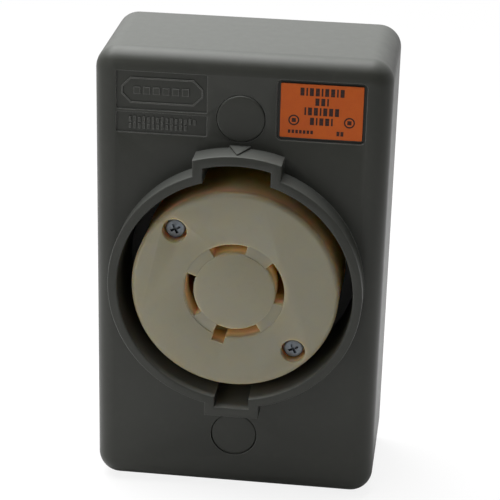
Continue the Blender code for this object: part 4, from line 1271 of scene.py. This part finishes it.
clamp_pattern = make_clamp()
for name in SLOT_ANGLES:
    middle = middle_angle(name)
    x, z = polar(TERMINAL_CIRCLE, middle)
    clamp = placed(own_copy(clamp_pattern, f"pressure_plate_{name}"), x, 0, z, middle)
    dress(clamp, zinc_steel, f"clamp_{name}", "zinc_steel", f"wire_clamp_{name}")
bpy.data.objects.remove(clamp_pattern)

# Assembly screws and nuts
# Two long screws go in from the front, through face, carrier and base, into square nuts. Their heads sit
# deep in the ivory face's bores.
ASSEMBLY_SEAT = -35.8 * MM
ASSEMBLY_HEAD = (2.4 * MM, 2.4 * MM, 0.5 * MM)
ASSEMBLY_SHANK = (1.5 * MM, 30.8 * MM)
ASSEMBLY_THREAD = (24.0 * MM, 0.7 * MM)
NUT_HALF_WIDTH = 2.8 * MM
NUT_FRONT = -7.6 * MM
NUT_REAR = -5.4 * MM
NUT_HOLE = 1.65 * MM
NUT_CROWN = 0.5 * MM


def make_nut():
    """A square nut whose rear corners are turned down to a crown."""
    half = NUT_HALF_WIDTH
    nut = block("nut_pattern", (-half, NUT_FRONT, -half), (half, NUT_REAR, half))
    corner = half * math.sqrt(2)
    profile = [(corner, NUT_FRONT - PAST), (corner, NUT_REAR - NUT_CROWN), (half, NUT_REAR + 0.05 * MM)]
    combine(nut, turned("crown", profile), "INTERSECT")
    cut(nut, rod("hole", NUT_HOLE, NUT_FRONT - PAST, NUT_REAR + PAST, steps=48))
    clean(nut)
    smooth(nut)
    return nut


nut_pattern = make_nut()
assembly_pattern = make_screw("assembly_pattern", ASSEMBLY_HEAD, ASSEMBLY_SHANK, ASSEMBLY_THREAD, cross=True)
for name, degrees in SCREW_ANGLES.items():
    x, z = polar(SCREW_CIRCLE, degrees)
    screw = placed(own_copy(assembly_pattern, f"through_screw_{name}"), x, ASSEMBLY_SEAT, z, SCREW_TURN)
    dress(screw, shaded_zinc, "box", "zinc_steel", f"assembly_screw_{name}")
    nut = placed(own_copy(nut_pattern, f"square_nut_{name}"), x, 0, z, degrees)
    dress(nut, zinc_steel, "box", "zinc_steel", f"assembly_nut_{name}")
bpy.data.objects.remove(assembly_pattern)
bpy.data.objects.remove(nut_pattern)

# Retaining plate
# A steel ring, stamped with four ears, clamps the receptacle's flanges against the well's floor. Four
# thread-forming screws hold it to the housing's posts.
RETAINER_EDGE = 0.18 * MM
RETAINER_SEAT = -9.2 * MM
RETAINER_HEAD = (2.8 * MM, 1.9 * MM, 0.8 * MM)
RETAINER_SHANK = (1.35 * MM, 10.5 * MM)
RETAINER_THREAD = (0.8 * MM, 1.1 * MM)
ring = finished_copy("retaining_plate", "retaining_ring", RETAINER_EDGE)
dress(ring, zinc_steel, "box", "zinc_steel", "retaining_plate")
screw = make_screw("retainer_pattern", RETAINER_HEAD, RETAINER_SHANK, RETAINER_THREAD, 28)
retainer_pattern = facing_back(screw)
for name, degrees in RETAINER_ANGLES.items():
    x, z = polar(RETAINER_RADIUS, degrees)
    screw = own_copy(retainer_pattern, f"thread_forming_screw_{name}")
    placed(screw, x, RETAINER_SEAT, z, 2 * degrees)
    dress(screw, zinc_steel, "box", "zinc_steel", f"retaining_screw_{name}")
bpy.data.objects.remove(retainer_pattern)

# Mounting screws
# Under each cap, a long machine screw goes through the post to the wall box. A washer of red vulcanised
# fibre, pushed on its thread, keeps it from falling out.
MOUNTING_SEAT = -19.3 * MM
MOUNTING_HEAD = (3.5 * MM, 2.6 * MM, 1.3 * MM)
MOUNTING_SHANK = (1.7 * MM, 18.9 * MM)
MOUNTING_THREAD = (1.2 * MM, 0.79 * MM)
MOUNTING_TURN = 35
KEEPER = (-1.9 * MM, -1.1 * MM)
KEEPER_RADIUS = 4.2 * MM
KEEPER_HOLE = 1.85 * MM
KEEPER_EDGE = 0.1 * MM
FIBRE = (0.30, 0.045, 0.03)
FIBRE_PALE = (0.42, 0.10, 0.06)


def make_keeper():
    front, rear = KEEPER
    keeper = rod("keeper_pattern", KEEPER_RADIUS, front, rear, steps=64)
    cut(keeper, rod("hole", KEEPER_HOLE, front - PAST, rear + PAST, steps=40))
    clean(keeper)
    round_edges(keeper, KEEPER_EDGE, lambda edge: sharp(edge, 60), 2)
    smooth(keeper)
    return keeper


def vulcanised_fibre():
    """Red vulcanised fibre: a paper-like mat, mottled and slightly furry."""
    made, tree, shader = new_material("vulcanised_fibre", FIBRE, 0.7)
    mat = add_noise(tree, 1100, 5.0, 0.65)
    hair = add_noise(tree, 4200, 3.0, 0.6, (1, 1, 0.2))
    tone = add_tint(tree, mat, 0.35, 0.7, 1.0, FIBRE, FIBRE_PALE)
    lay_finish(tree, shader, tone, mat, (0.3, 0.7, 0.6, 0.85))
    add_bump(tree, shader, hair, 0.02 * MM, 0.7)
    return made


red_fibre = vulcanised_fibre()
mounting_pattern = make_screw("mounting_pattern", MOUNTING_HEAD, MOUNTING_SHANK, MOUNTING_THREAD, 28)
keeper_pattern = make_keeper()
for end, side in ENDS.items():
    screw = own_copy(mounting_pattern, f"box_screw_{end}")
    placed(screw, 0, MOUNTING_SEAT, side * SCREW_PLACE, side * MOUNTING_TURN)
    dress(screw, zinc_steel, f"driver_screw_{end}", "zinc_steel", f"mounting_screw_{end}")
    keeper = placed(own_copy(keeper_pattern, f"fibre_washer_{end}"), z=side * SCREW_PLACE)
    dress(keeper, red_fibre, f"keeper_{end}", "red_fibre", f"screw_keeper_{end}")
bpy.data.objects.remove(mounting_pattern)
bpy.data.objects.remove(keeper_pattern)
